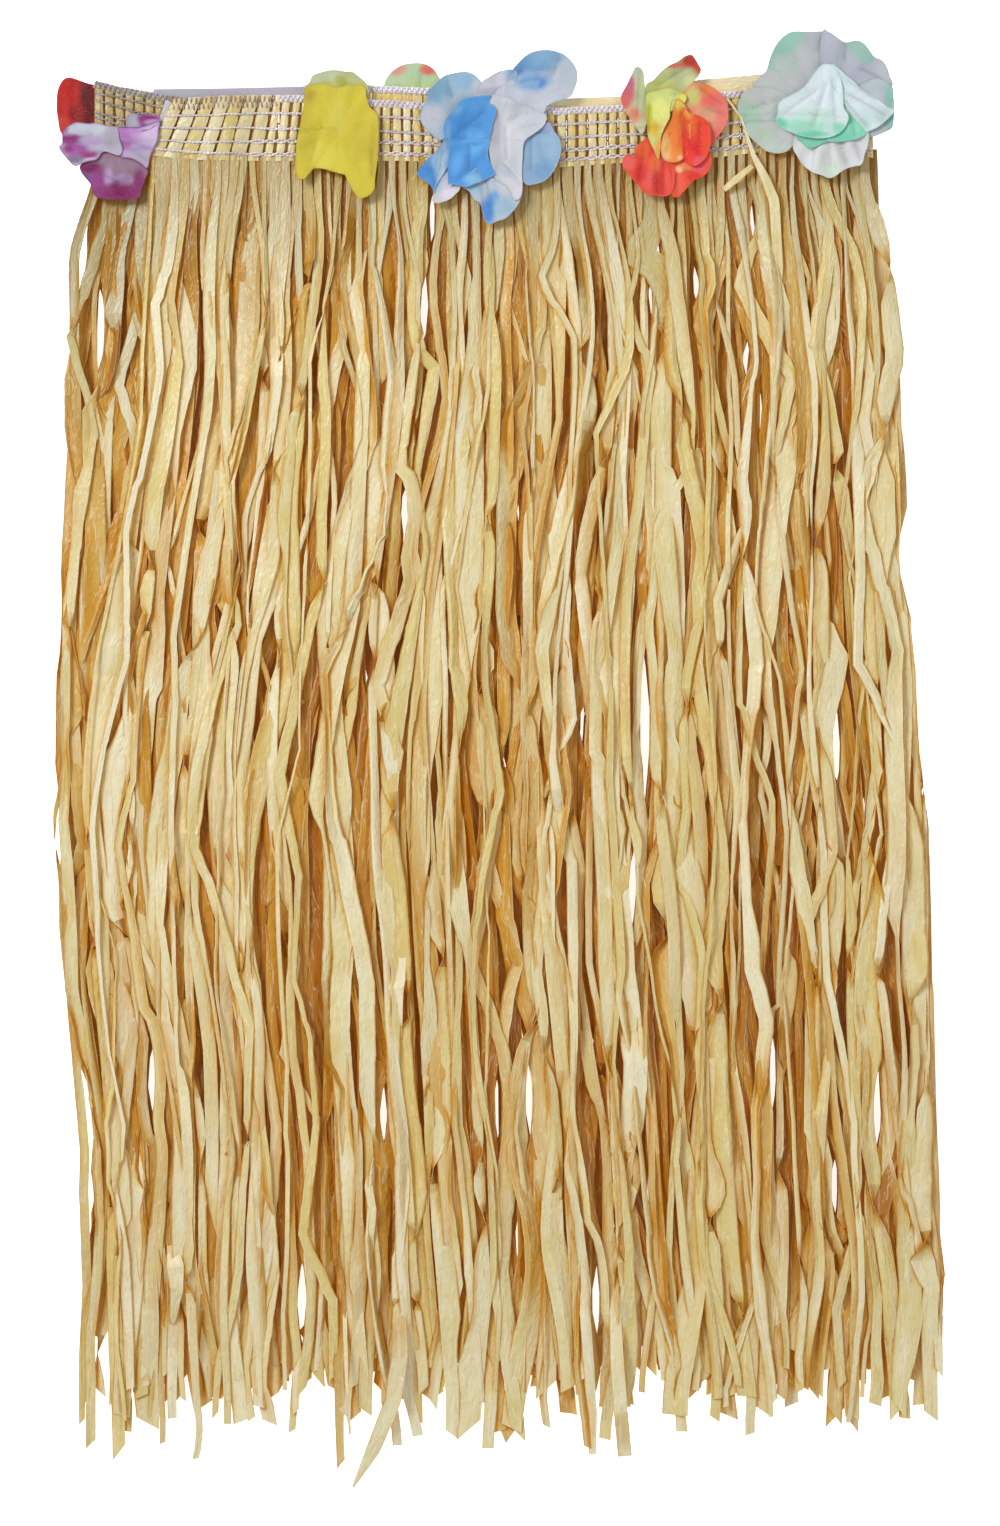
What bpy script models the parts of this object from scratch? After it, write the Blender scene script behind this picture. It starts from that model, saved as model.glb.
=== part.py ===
"""Grass skirt laid flat: a netted waistband, its fringe in two layers, and seven petal flowers.

The frame is X across the skirt, Y up towards the waist and Z up off the surface that it lies on.
The front faces up. The origin is under the middle of the skirt, on that surface.
Sizes in this file are millimetres, and MM turns them into Blender's metres.
"""

import math
from collections import namedtuple

import bpy

MM = 0.001
SEAM = 0.3               # clear gap between neighbouring pieces

# Heights off the surface, from the bottom layer up.
BAND_WALL = 2.4          # folded raffia heads with the yarn that nets them
BACK_FLOWER_WALL = 1.2
BACK_RUN_Z = 3.0         # middle of the band's wall where it runs behind
FRONT_RUN_Z = 6.0        # middle of the wall in front, and in the lap at the left
LAP_END_Z = 10.2         # middle of the wall where the front's end lies on the lap and the tab
FOLD_STEPS = 3

# The fringe: locks of ribbon, side by side in each layer.
FRONT_LOCKS = 16
BACK_LOCKS = 16
LAP_LOCKS = 2
HEAD_DROP = 0.5          # a lock's head starts this far under the band
BACK_DEPTH = 8.5         # height of the back layer's top where it is full
FRONT_DEPTH = 9.5        # thickness of the front layer where it is full
FILL_DROP = 120.0        # the fringe is full this far under the band
HEM_THIN = 0.6           # share of the full thickness that is left at the hem
LAYER_GAP = 0.6
SEAM_WANDER = 5.0        # how far a seam between locks strays sideways
TIP_WIDTHS = (0.62, 0.34)
TIP_PLACES = (0.5, 1.0)

PETAL_WALL = 1.2
PETAL_ANGLES = 24
INNER_SHARE = 0.62       # reach of the inner petals as a share of the outer ones
INNER_LIFT = 2.3

# The waistband is one strip: the front run from its free end, then the back run, then the lap.
Station = namedtuple("Station", "top_x top_y bottom_x bottom_y")
FRONT_RUN = [
    Station(-199, 405, -208, 378),
    Station(-182, 406, -188, 372),
    Station(-168, 407, -171, 370),
    Station(-140, 408, -141, 369),
    Station(-121, 408, -121, 369),
    Station(-60, 404, -60, 369),
    Station(-11, 401, -11, 367),
    Station(38, 400, 38, 365),
    Station(81, 402, 81, 368),
    Station(123, 408, 123, 370),
    Station(166, 413, 166, 375),
    Station(203, 414, 203, 375),
    Station(230, 410, 230, 371),
]
BACK_RUN = [
    Station(230, 411, 230, 371),
    Station(203, 417, 203, 376),
    Station(166, 421, 166, 379),
    Station(123, 417, 123, 376),
    Station(75, 407, 75, 372),
    Station(26, 405, 26, 370),
    Station(-23, 410, -23, 371),
    Station(-60, 412, -60, 373),
    Station(-103, 414, -103, 374),
    Station(-150, 410, -150, 374),
    Station(-212, 410, -212, 380),
    Station(-247, 415, -247, 388),
]
LAP = [
    Station(-247, 415, -247, 388),
    Station(-213, 408, -213, 378),
    Station(-174, 402, -174, 374),
]

# Side edges of the fringe, from the band to the hem, and the front's own left edge over the lap.
Edge = namedtuple("Edge", "y left front_left right")
EDGES = [
    Edge(385, -247.0, -211.0, 228.5),
    Edge(367, -248.0, -212.5, 229.5),
    Edge(343, -255.0, -215.5, 233.5),
    Edge(300, -265.0, -217.0, 241.5),
    Edge(245, -267.0, -219.0, 245.5),
    Edge(172, -269.5, -221.0, 247.5),
    Edge(98, -270.0, -222.0, 249.0),
    Edge(25, -269.5, -221.0, 257.0),
    Edge(-48, -272.5, -222.0, 263.0),
    Edge(-103, -272.0, -221.0, 264.5),
    Edge(-146, -264.0, -217.0, 264.0),
    Edge(-201, -256.0, -213.0, 264.0),
    Edge(-250, -253.5, -212.0, 267.0),
    Edge(-323, -255.0, -213.0, 272.5),
    Edge(-450, -258.0, -214.0, 270.0),
]
LOCK_ROWS = (350, 310, 240, 150, 60, -40, -140, -240, -320, -365)

# The hem: how low each lock's tip reaches, and how far it leans sideways.
Tip = namedtuple("Tip", "y lean")
LAP_TIPS = [Tip(-409, 3), Tip(-398, -4)]
FRONT_TIPS = [
    Tip(-398, 2), Tip(-392, -3), Tip(-394, 2), Tip(-390, -4),
    Tip(-446, -5), Tip(-394, 4), Tip(-409, 3), Tip(-411, -2),
    Tip(-397, 4), Tip(-425, 2), Tip(-387, -3), Tip(-400, 2),
    Tip(-396, -2), Tip(-395, 3), Tip(-401, 2), Tip(-385, 1),
]
BACK_TIP_Y = -390.0
BACK_TIP_SPREAD = 7.0

# A lock's section: two flat corners below, and ridges of ribbon above.
Ridge = namedtuple("Ridge", "place height")
RIDGES = [
    Ridge(0.00, 0.40), Ridge(0.20, 0.95), Ridge(0.40, 0.66),
    Ridge(0.62, 1.00), Ridge(0.82, 0.72), Ridge(1.00, 0.42),
]
RIDGE_SWELL = 0.14

# Flowers: the sewn centre, the rise of the petals, and how far they reach in each direction.
# The twelve reaches are 30 degrees apart, anticlockwise from +X.
Flower = namedtuple("Flower", "name x y z rise ruffle reach")
FLOWERS = [
    Flower("flower_purple", -236, 373, 7.6, 12.0, 2.6, (27, 34, 26, 20, 24, 32, 32, 28, 30, 30, 32, 28)),
    Flower("flower_yellow", -98, 382, 8.2, 9.0, 2.0, (24, 28, 36, 40, 37, 29, 23, 33, 31, 22, 31, 35)),
    Flower("flower_blue", 1, 382, 8.2, 12.0, 3.0, (38, 55, 58, 36, 47, 50, 40, 56, 50, 53, 36, 44)),
    Flower("flower_red", 108, 388, 8.2, 12.0, 3.0, (33, 35, 42, 37, 35, 34, 32, 37, 42, 42, 38, 32)),
    Flower("flower_mint", 200, 401, 8.2, 13.0, 3.0, (42, 41, 47, 45, 50, 46, 53, 49, 39, 45, 44, 40)),
]
BACK_FLOWERS = [
    Flower("flower_back_red", -237, 395, 0.0, 0.0, 0.0, (24, 20, 18, 19, 27, 36, 34, 25, 18, 18, 20, 22)),
    Flower("flower_back_green", -51, 398, 0.0, 0.0, 0.0, (20, 20, 22, 27, 22, 20, 20, 20, 22, 24, 22, 20)),
]

# Name of each finish: base colour, roughness.
Finish = namedtuple("Finish", "colour roughness")
FINISHES = {
    "band": Finish((0.66, 0.53, 0.34), 0.6),
    "tab": Finish((0.80, 0.80, 0.84), 0.7),
    "fringe": Finish((0.76, 0.66, 0.40), 0.45),
    "flower_purple": Finish((0.50, 0.16, 0.46), 0.6),
    "flower_yellow": Finish((0.72, 0.62, 0.08), 0.6),
    "flower_blue": Finish((0.22, 0.46, 0.74), 0.6),
    "flower_red": Finish((0.84, 0.20, 0.10), 0.6),
    "flower_mint": Finish((0.56, 0.80, 0.68), 0.6),
    "flower_back_red": Finish((0.60, 0.05, 0.03), 0.6),
    "flower_back_green": Finish((0.60, 0.70, 0.40), 0.6),
}


def ramp(value, start, end):
    """Smooth step from 0 at start to 1 at end."""
    t = min(max((value - start) / (end - start), 0.0), 1.0)
    return t * t * (3.0 - 2.0 * t)


def between(points, x):
    """Height at x of a polyline of (x, y) points sorted by x, held level past its ends."""
    if x <= points[0][0]:
        return points[0][1]
    for (x0, y0), (x1, y1) in zip(points, points[1:]):
        if x <= x1:
            return y0 + (y1 - y0) * (x - x0) / (x1 - x0)
    return points[-1][1]


def edge_at(column, y):
    """One column of the table of side edges, at the height y."""
    return between(sorted((row.y, getattr(row, column)) for row in EDGES), y)


def band_bottom(run, x):
    """Lower edge of one run of the waistband at x."""
    return between(sorted((station.bottom_x, station.bottom_y) for station in run), x)


def add_piece(name, vertices, faces, finish, collection):
    """New object from points in millimetres, with its own material."""
    mesh = bpy.data.meshes.new(name)
    mesh.from_pydata([(x * MM, y * MM, z * MM) for x, y, z in vertices], [], faces)
    mesh.update()
    piece = bpy.data.objects.new(name, mesh)
    collection.objects.link(piece)
    material = bpy.data.materials.new(name)
    material.use_nodes = True
    shader = material.node_tree.nodes["Principled BSDF"]
    shader.inputs["Base Color"].default_value = (*FINISHES[finish].colour, 1.0)
    shader.inputs["Roughness"].default_value = FINISHES[finish].roughness
    shader.inputs["Metallic"].default_value = 0.0
    mesh.materials.append(material)
    return piece


def loft(name, rings, finish, collection):
    """Closed solid through rings of equal count, each ring anticlockwise as seen from the next one."""
    count = len(rings[0])
    faces = [tuple(reversed(range(count)))]
    for ring in range(len(rings) - 1):
        low = ring * count
        high = low + count
        for i in range(count):
            j = (i + 1) % count
            faces.append((low + i, low + j, high + j, high + i))
    last = (len(rings) - 1) * count
    faces.append(tuple(range(last, last + count)))
    return add_piece(name, [point for ring in rings for point in ring], faces, finish, collection)


# ---- waistband ----

def band_ring(station, offset_x, z, out_x, out_z):
    """Four corners of the strip at a station, out_x and out_z being the way its face looks."""
    half = BAND_WALL / 2
    corners = []
    for x, y, side in (
        (station.top_x, station.top_y, 1), (station.bottom_x, station.bottom_y, 1),
        (station.bottom_x, station.bottom_y, -1), (station.top_x, station.top_y, -1),
    ):
        corners.append((x + offset_x + out_x * half * side, y, z + out_z * half * side))
    return corners


def fold(station, side):
    """Rings round the fold at one end of the back run, side being 1 at the right and -1 at the left."""
    middle = (FRONT_RUN_Z + BACK_RUN_Z) / 2
    radius = (FRONT_RUN_Z - BACK_RUN_Z) / 2
    rings = []
    for step in range(1, FOLD_STEPS):
        turn = math.pi * (0.5 - step / FOLD_STEPS)
        out_x = math.cos(turn) * side
        out_z = math.sin(turn) * side
        rings.append(band_ring(station, radius * out_x, middle + radius * out_z, out_x, out_z))
    return rings


def add_waistband(collection):
    """One strip, folded at both sides, with its free end lying on the lap."""
    rings = []
    for station in FRONT_RUN:
        lift = (LAP_END_Z - FRONT_RUN_Z) * (1 - ramp(station.top_x, -170, -140))
        rings.append(band_ring(station, 0, FRONT_RUN_Z + lift, 0, 1))
    rings += fold(FRONT_RUN[-1], 1)
    rings += [band_ring(station, 0, BACK_RUN_Z, 0, -1) for station in BACK_RUN]
    rings += fold(LAP[0], -1)
    rings += [band_ring(station, 0, FRONT_RUN_Z, 0, 1) for station in LAP]
    return loft("waistband", rings, "band", collection)


def add_closure_tab(collection):
    """Fastening tab at the band's free end, lying on the lap and tucked under the front's end."""
    low = FRONT_RUN_Z + BAND_WALL / 2 + SEAM
    high = LAP_END_Z - BAND_WALL / 2 - SEAM
    outline = [(-207, 400.5), (-207, 386), (-188, 386), (-188, 400.5)]
    rings = [[(x, y, z) for x, y in outline] for z in (low, high)]
    return loft("closure_tab", rings, "tab", collection)


# ---- fringe ----

def fringe_depths(layer, x, y, head_y):
    """Height of a layer's underside and its thickness, at a place under the band."""
    drop = head_y - y
    fill = ramp(drop, 0, FILL_DROP)
    thin = 1 - (1 - HEM_THIN) * ramp(-y, 300, 400)
    back_top = BACK_RUN_Z + BAND_WALL / 2 + (BACK_DEPTH - BACK_RUN_Z - BAND_WALL / 2) * fill
    back_top *= thin
    if layer == "back":
        under = (BACK_RUN_Z - BAND_WALL / 2) * (1 - ramp(drop, 0, 25))
        return under, back_top - under
    lift = (LAP_END_Z - FRONT_RUN_Z) * (1 - ramp(x, -170, -140)) * (1 - ramp(drop, 0, 70))
    if layer == "lap":
        lift = 0
    thickness = (BAND_WALL + (FRONT_DEPTH - BAND_WALL) * fill) * thin
    return back_top + LAYER_GAP + lift, thickness


def seam_x(layer, count, seam, y):
    """Sideways place of a seam between locks: an even share of the width, straying down its length."""
    left_column = {"front": "front_left", "back": "left", "lap": "left"}[layer]
    right_column = {"front": "right", "back": "right", "lap": "front_left"}[layer]
    left = edge_at(left_column, y)
    right = edge_at(right_column, y)
    stray = 0.0
    if 0 < seam < count:
        wave = 150.0 + 40.0 * math.sin(seam * 2.3 + count)
        stray = SEAM_WANDER * math.sin(y / wave * math.pi + seam * 1.9) * ramp(350 - y, 0, 150)
    return left + (right - left) * seam / count + stray


def lock_ring(layer, lock, left, right, y, head_y):
    """Section of a lock at one height, flat below and ridged above."""
    middle = (left + right) / 2
    under, thickness = fringe_depths(layer, middle, y, head_y)
    ring = [(left, y, under), (right, y, under)]
    for number, ridge in reversed(list(enumerate(RIDGES))):
        swell = RIDGE_SWELL * math.sin(lock * 2.7 + number * 1.7 + y / 85.0)
        height = thickness * min(ridge.height + swell, 1.0)
        ring.append((left + (right - left) * ridge.place, y, under + height))
    return ring


def add_lock(layer, run, count, lock, tip, collection):
    """One lock of the fringe, from its head under the band to its tip at the hem."""
    inset = SEAM / 2
    samples = [seam_x(layer, count, lock + part / 4, 375) for part in range(5)]
    head_y = min(band_bottom(run, x) for x in samples) - HEAD_DROP
    rings = []
    for y in (head_y, *LOCK_ROWS):
        left = seam_x(layer, count, lock, y) + inset
        right = seam_x(layer, count, lock + 1, y) - inset
        rings.append(lock_ring(layer, lock, left, right, y, head_y))
    middle = (left + right) / 2
    half = (right - left) / 2
    for place, width in zip(TIP_PLACES, TIP_WIDTHS):
        y = LOCK_ROWS[-1] + (tip.y - LOCK_ROWS[-1]) * place
        centre = middle + tip.lean * place
        rings.append(lock_ring(layer, lock, centre - half * width, centre + half * width, y, head_y))
    return loft(f"fringe_{layer}_{lock + 1:02d}", rings, "fringe", collection)


def add_fringe(collection):
    """Back layer on the surface, then the lap's locks and the front layer on it."""
    for lock in range(BACK_LOCKS):
        tip = Tip(BACK_TIP_Y + BACK_TIP_SPREAD * math.sin(lock * 2.1), 2.0 * math.sin(lock * 1.3))
        add_lock("back", BACK_RUN, BACK_LOCKS, lock, tip, collection)
    for lock, tip in enumerate(LAP_TIPS):
        add_lock("lap", LAP, LAP_LOCKS, lock, tip, collection)
    for lock, tip in enumerate(FRONT_TIPS):
        add_lock("front", FRONT_RUN, FRONT_LOCKS, lock, tip, collection)


# ---- flowers ----

def petal_reach(flower, angle):
    """Reach of the petals in one direction, eased between the twelve given ones."""
    place = angle / (2 * math.pi) * len(flower.reach)
    first = int(place) % len(flower.reach)
    second = (first + 1) % len(flower.reach)
    ease = ramp(place - int(place), 0, 1)
    return flower.reach[first] * (1 - ease) + flower.reach[second] * ease


def petal_height(flower, share, angle):
    """Height of the petals' underside at a share of their reach."""
    ruffle = flower.ruffle * share ** 2 * math.sin(5 * angle + flower.x)
    return flower.z + flower.rise * share ** 1.2 + ruffle


def add_petals(name, flower, share, lift, wall, collection):
    """Open ruffled sheet round the flower's centre, given its wall by Solidify."""
    vertices = [(flower.x, flower.y, flower.z + lift)]
    faces = []
    for ring, part in enumerate((0.5, 1.0)):
        for step in range(PETAL_ANGLES):
            angle = 2 * math.pi * step / PETAL_ANGLES
            reach = petal_reach(flower, angle) * share * part
            x = flower.x + reach * math.cos(angle)
            y = flower.y + reach * math.sin(angle)
            vertices.append((x, y, petal_height(flower, share * part, angle) + lift))
            after = (step + 1) % PETAL_ANGLES
            if ring == 0:
                faces.append((0, 1 + step, 1 + after))
            else:
                faces.append((1 + step, 1 + step + PETAL_ANGLES, 1 + after + PETAL_ANGLES, 1 + after))
    petals = add_piece(name, vertices, faces, flower.name, collection)
    solidify = petals.modifiers.new("wall", "SOLIDIFY")
    solidify.thickness = wall * MM
    solidify.offset = 1.0
    return petals


def add_flowers(collection):
    """Front flowers have outer and inner petals, and the two behind are pressed flat."""
    for flower in BACK_FLOWERS:
        add_petals(flower.name, flower, 1.0, 0.0, BACK_FLOWER_WALL, collection)
    for flower in FLOWERS:
        add_petals(f"{flower.name}_outer", flower, 1.0, 0.0, PETAL_WALL, collection)
        add_petals(f"{flower.name}_inner", flower, INNER_SHARE, INNER_LIFT, PETAL_WALL, collection)


def centre_on_surface(collection):
    """Move every piece together, so that the origin is under the middle of the whole skirt."""
    bpy.context.view_layer.update()
    corners = []
    for piece in collection.objects:
        corners += [piece.matrix_world @ vertex.co for vertex in piece.data.vertices]
    middle_x = (min(c.x for c in corners) + max(c.x for c in corners)) / 2
    middle_y = (min(c.y for c in corners) + max(c.y for c in corners)) / 2
    for piece in collection.objects:
        piece.location.x -= middle_x
        piece.location.y -= middle_y


def main():
    """Clear the scene and build the skirt."""
    for old in list(bpy.data.objects):
        bpy.data.objects.remove(old, do_unlink=True)
    collection = bpy.data.collections.new("grass_skirt")
    bpy.context.scene.collection.children.link(collection)
    add_waistband(collection)
    add_closure_tab(collection)
    add_fringe(collection)
    add_flowers(collection)
    centre_on_surface(collection)


main()
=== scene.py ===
# %% [markdown]
# # A raffia skirt, laid flat
# The skirt is a netted waistband, a fringe of paper raffia ribbons in layers, and dyed cloth flowers.
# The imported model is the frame: it gives the sizes and places, and each plain solid in it is
# replaced here by the ribbons, yarn and petals that the real piece is made of.

# %% Load the frame
import math
from typing import NamedTuple

import bpy
import numpy as np
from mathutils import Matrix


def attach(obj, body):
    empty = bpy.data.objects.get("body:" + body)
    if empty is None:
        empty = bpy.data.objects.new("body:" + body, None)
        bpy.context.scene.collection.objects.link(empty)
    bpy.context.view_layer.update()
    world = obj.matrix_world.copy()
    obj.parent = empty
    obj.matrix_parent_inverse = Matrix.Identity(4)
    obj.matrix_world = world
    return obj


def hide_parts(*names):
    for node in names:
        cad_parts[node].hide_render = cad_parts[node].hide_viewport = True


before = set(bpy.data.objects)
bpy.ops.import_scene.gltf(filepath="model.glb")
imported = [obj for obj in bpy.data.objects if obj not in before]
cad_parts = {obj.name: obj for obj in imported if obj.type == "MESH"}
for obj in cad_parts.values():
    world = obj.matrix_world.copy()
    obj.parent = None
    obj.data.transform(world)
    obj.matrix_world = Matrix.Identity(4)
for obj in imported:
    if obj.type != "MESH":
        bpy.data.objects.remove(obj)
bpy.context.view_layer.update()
MM = 0.001

# %% [markdown]
# ## Camera, floor and light
# A flat garment is shown from straight above with a long lens, so that nothing leans. The floor
# is plain and pale. One large soft light from the upper left shapes the creases, and a weaker
# one from the right keeps the gaps between the ribbons from going black.

# %% Camera
LENS_RISE = 3.0          # height of the camera over the skirt, in metres
SKIRT_TOP = 0.012        # height of the ribbons that the lens is measured from
VIEW_HEIGHT = 0.932      # height of the view at the skirt, in metres
SENSOR = 36.0
camera_data = bpy.data.cameras.new("camera")
camera_data.sensor_width = SENSOR
camera_data.lens = SENSOR * LENS_RISE / VIEW_HEIGHT
camera = bpy.data.objects.new("camera", camera_data)
camera.location = (0.0012, -0.0012, LENS_RISE + SKIRT_TOP)
bpy.context.scene.collection.objects.link(camera)
bpy.context.scene.camera = camera
bpy.context.scene.view_settings.view_transform = "Standard"
print("lens", round(camera_data.lens, 1), "mm")

# %% Floor
FLOOR_HALF = 30.0
FLOOR_CORNERS = [(-FLOOR_HALF, -FLOOR_HALF, 0), (FLOOR_HALF, -FLOOR_HALF, 0),
                 (FLOOR_HALF, FLOOR_HALF, 0), (-FLOOR_HALF, FLOOR_HALF, 0)]


def finish(shader, values):
    """Set the shader's own sockets by name."""
    for socket, value in values.items():
        shader.inputs[socket].default_value = value


floor_mesh = bpy.data.meshes.new("floor")
floor_mesh.from_pydata(FLOOR_CORNERS, [], [(0, 1, 2, 3)])
floor = bpy.data.objects.new("floor", floor_mesh)
bpy.context.scene.collection.objects.link(floor)
floor_material = bpy.data.materials.new("floor")
floor_material.use_nodes = True
finish(floor_material.node_tree.nodes["Principled BSDF"], {
    "Base Color": (0.93, 0.93, 0.93, 1), "Roughness": 0.9, "Specular IOR Level": 0.1,
    "Emission Color": (1, 1, 1, 1), "Emission Strength": 0.8})
floor_mesh.materials.append(floor_material)
print("floor", 2 * FLOOR_HALF, "m wide")

# %% Lights
SKY_LIGHT = 0.48         # strength of the plain white world


def add_light(name, place, power, size):
    """Square area light at a place, turned towards the middle of the skirt."""
    data = bpy.data.lights.new(name, "AREA")
    data.energy = power
    data.size = size
    light = bpy.data.objects.new(name, data)
    light.location = place
    direction = -light.location.normalized()
    light.rotation_euler = direction.to_track_quat("-Z", "Y").to_euler()
    bpy.context.scene.collection.objects.link(light)
    print(name, "light", power, "W")


add_light("key", (-1.5, 1.3, 1.9), 48, 0.8)
add_light("fill", (1.8, -0.6, 2.2), 14, 1.8)
world = bpy.data.worlds.new("world")
bpy.context.scene.world = world
world.use_nodes = True
finish(world.node_tree.nodes["Background"], {"Color": (1, 1, 1, 1), "Strength": SKY_LIGHT})

# %% [markdown]
# ## Meshes from whole arrays
# Every ribbon, thread and petal here is a grid of points worked out with numpy. These helpers turn
# a stack of such grids into one mesh. A ribbon has a front, a back and cut ends, so its mesh is a
# closed thin shell, which exports and shades better than a single sheet of faces.

# %% Mesh helpers
def shell_faces(stations, ring):
    """Quads of one tube of points: `stations` rings of `ring` points each, with both ends closed.

    The rings are two rows of points back to back, so an end is closed by quads between the rows."""
    low = np.arange(stations - 1)[:, None] * ring
    here = np.arange(ring)[None, :]
    after = (here + 1) % ring
    side = np.stack([low + here, low + after, low + ring + after, low + ring + here], -1)
    first = np.arange(ring // 2 - 1)
    start = np.stack([first, ring - 1 - first, ring - 2 - first, first + 1], -1)
    end = start[:, ::-1] + (stations - 1) * ring
    return np.concatenate([side.reshape(-1, 4), start, end])


def signed_volume(points, quads):
    """Volume inside the quads, negative where they face inwards."""
    a, b, c, d = (points[quads[:, i]] for i in range(4))
    first = np.einsum("ij,ij->i", a, np.cross(b, c))
    second = np.einsum("ij,ij->i", a, np.cross(c, d))
    return (first.sum() + second.sum()) / 6


def mesh_from_grids(name, points, quads, uv, values, sharp=7):
    """Object from `points` (copies, points each, 3), in millimetres, that share one table of `quads`.

    `uv` is (copies, points each, 2), in millimetres too. `values` maps attribute names to
    (copies, points each), and edges sharper than `sharp` degrees stay crisp."""
    points, uv = points * MM, uv * MM
    copies, each, _ = points.shape
    if signed_volume(points[0], quads) < 0:
        quads = quads[:, ::-1]
    flat = points.reshape(-1, 3).astype(np.float32)
    index = (quads[None] + (np.arange(copies) * each)[:, None, None]).reshape(-1, 4).astype(np.int32)
    mesh = bpy.data.meshes.new(name)
    mesh.vertices.add(len(flat))
    mesh.vertices.foreach_set("co", flat.ravel())
    mesh.loops.add(index.size)
    mesh.loops.foreach_set("vertex_index", index.ravel())
    mesh.polygons.add(len(index))
    mesh.polygons.foreach_set("loop_start", np.arange(0, index.size, 4, dtype=np.int32))
    mesh.update(calc_edges=True)
    layer = mesh.uv_layers.new(name="strip")
    layer.data.foreach_set("uv", uv.reshape(-1, 2).astype(np.float32)[index.ravel()].ravel())
    for key, value in values.items():
        attribute = mesh.attributes.new(key, "FLOAT", "POINT")
        attribute.data.foreach_set("value", value.astype(np.float32).ravel())
    mesh.shade_smooth()
    mesh.set_sharp_from_angle(angle=math.radians(sharp))
    mesh.validate()
    piece = bpy.data.objects.new(name, mesh)
    bpy.context.scene.collection.objects.link(piece)
    print(name, "triangles", 2 * len(index))
    return piece


# %% Dress a piece, and measure along arrays
def dress(piece, material):
    """Give a piece its material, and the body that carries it."""
    piece.data.materials.append(material)
    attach(piece, "root")
    return piece


def ramp(value, start, end):
    """Smooth step of an array: 0 at start, 1 at end."""
    t = np.clip((value - start) / (end - start), 0.0, 1.0)
    return t * t * (3.0 - 2.0 * t)


def lengths_along(points):
    """Length from the first point to each point of every path, as (paths, stations)."""
    steps = np.linalg.norm(np.diff(points, axis=1), axis=-1)
    return np.concatenate([np.zeros((len(points), 1)), np.cumsum(steps, 1)], 1)


# %% [markdown]
# ## The plan of the skirt
# The waistband is one strip, folded flat: the front run, the back run under it, and the lap at the
# left that the front's free end lies on. Each run is a short table of its top and bottom edges.
# The fringe's side edges are read from the frame's own solids, row by row.

# %% Runs of the waistband, in millimetres
FRONT_RUN = np.array([
    # top_x top_y bottom_x bottom_y
    (-199, 405, -214, 372), (-182, 406, -196, 370), (-168, 407, -180, 369), (-140, 408, -147, 369),
    (-121, 408, -125, 369), (-60, 404, -60, 369), (-11, 401, -11, 367), (38, 400, 38, 365),
    (81, 402, 81, 368), (123, 408, 123, 370), (166, 413, 166, 375), (203, 414, 203, 375),
    (230, 410, 230, 371),
], float)
BACK_RUN = np.array([
    (-247, 415, -247, 388), (-212, 410, -212, 380), (-150, 410, -150, 374), (-103, 414, -103, 374),
    (-60, 412, -60, 373), (-23, 410, -23, 371), (26, 405, 26, 370), (75, 407, 75, 372),
    (123, 417, 123, 376), (166, 421, 166, 379), (203, 417, 203, 376), (230, 411, 230, 371),
], float)
LAP = np.array([(-247, 415, -247, 388), (-213, 408, -213, 378), (-174, 402, -174, 374)], float)
BACK_Z = 3.0
FRONT_Z = 6.0            # of the front run, and of the lap that its end lies on
LAP_END_Z = 10.2         # of the front run's free end
BAND_HEIGHT = 43.0


def run_middle(run):
    """x and y of a run's middle line."""
    return (run[:, :2] + run[:, 2:]) / 2


def run_length(run):
    """Length of a run along its middle, in millimetres."""
    return np.hypot(*np.diff(run_middle(run), axis=0).T).sum()


def run_place(run, along, rise):
    """x and y on a run: `along` is millimetres from its left end, `rise` 0 at its foot and 1 at its top."""
    place = np.concatenate([[0], np.cumsum(np.hypot(*np.diff(run_middle(run), axis=0).T))])
    top_x, top_y, bottom_x, bottom_y = (np.interp(along, place, run[:, i]) for i in range(4))
    return bottom_x + (top_x - bottom_x) * rise, bottom_y + (top_y - bottom_y) * rise


def front_z(x):
    """Middle height of the front run: level, and lifted onto the lap at its left end."""
    return FRONT_Z + (LAP_END_Z - FRONT_Z) * (1 - ramp(x, -170, -140))


def level_at(height):
    """A run's height as a function of x, for a run that lies level."""
    return lambda x: np.full_like(x, height)


FRONT = (FRONT_RUN, front_z)             # each run with its height
BACK = (BACK_RUN, level_at(BACK_Z))
ON_LAP = (LAP, level_at(FRONT_Z))
print("front run", round(run_length(FRONT_RUN)), "back run", round(run_length(BACK_RUN)), "mm")

# %% Side edges of the fringe
HEM_ROW, TOP_ROW = -370, 355      # rows of the frame's solids between these are whole
ROW_POINTS = 60                   # and a whole row has at least so many points


def fringe_edges(prefix):
    """Rows of (y, lowest x, highest x) of the frame's fringe solids with that prefix, in millimetres."""
    points = []
    for name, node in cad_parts.items():
        if name.startswith(prefix):
            flat = np.empty(len(node.data.vertices) * 3, np.float32)
            node.data.vertices.foreach_get("co", flat)
            points.append(flat.reshape(-1, 3) / MM)
    points = np.concatenate(points)
    rows = np.round(points[:, 1])
    heights = [y for y in np.unique(rows) if (rows == y).sum() >= ROW_POINTS and HEM_ROW < y < TOP_ROW]
    return np.array([(y, points[rows == y, 0].min(), points[rows == y, 0].max()) for y in heights])


edges = fringe_edges("fringe_")
front_edges = fringe_edges("fringe_front")
print("fringe rows", len(edges), "widest", round(float((edges[:, 2] - edges[:, 1]).max())), "mm")
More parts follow.
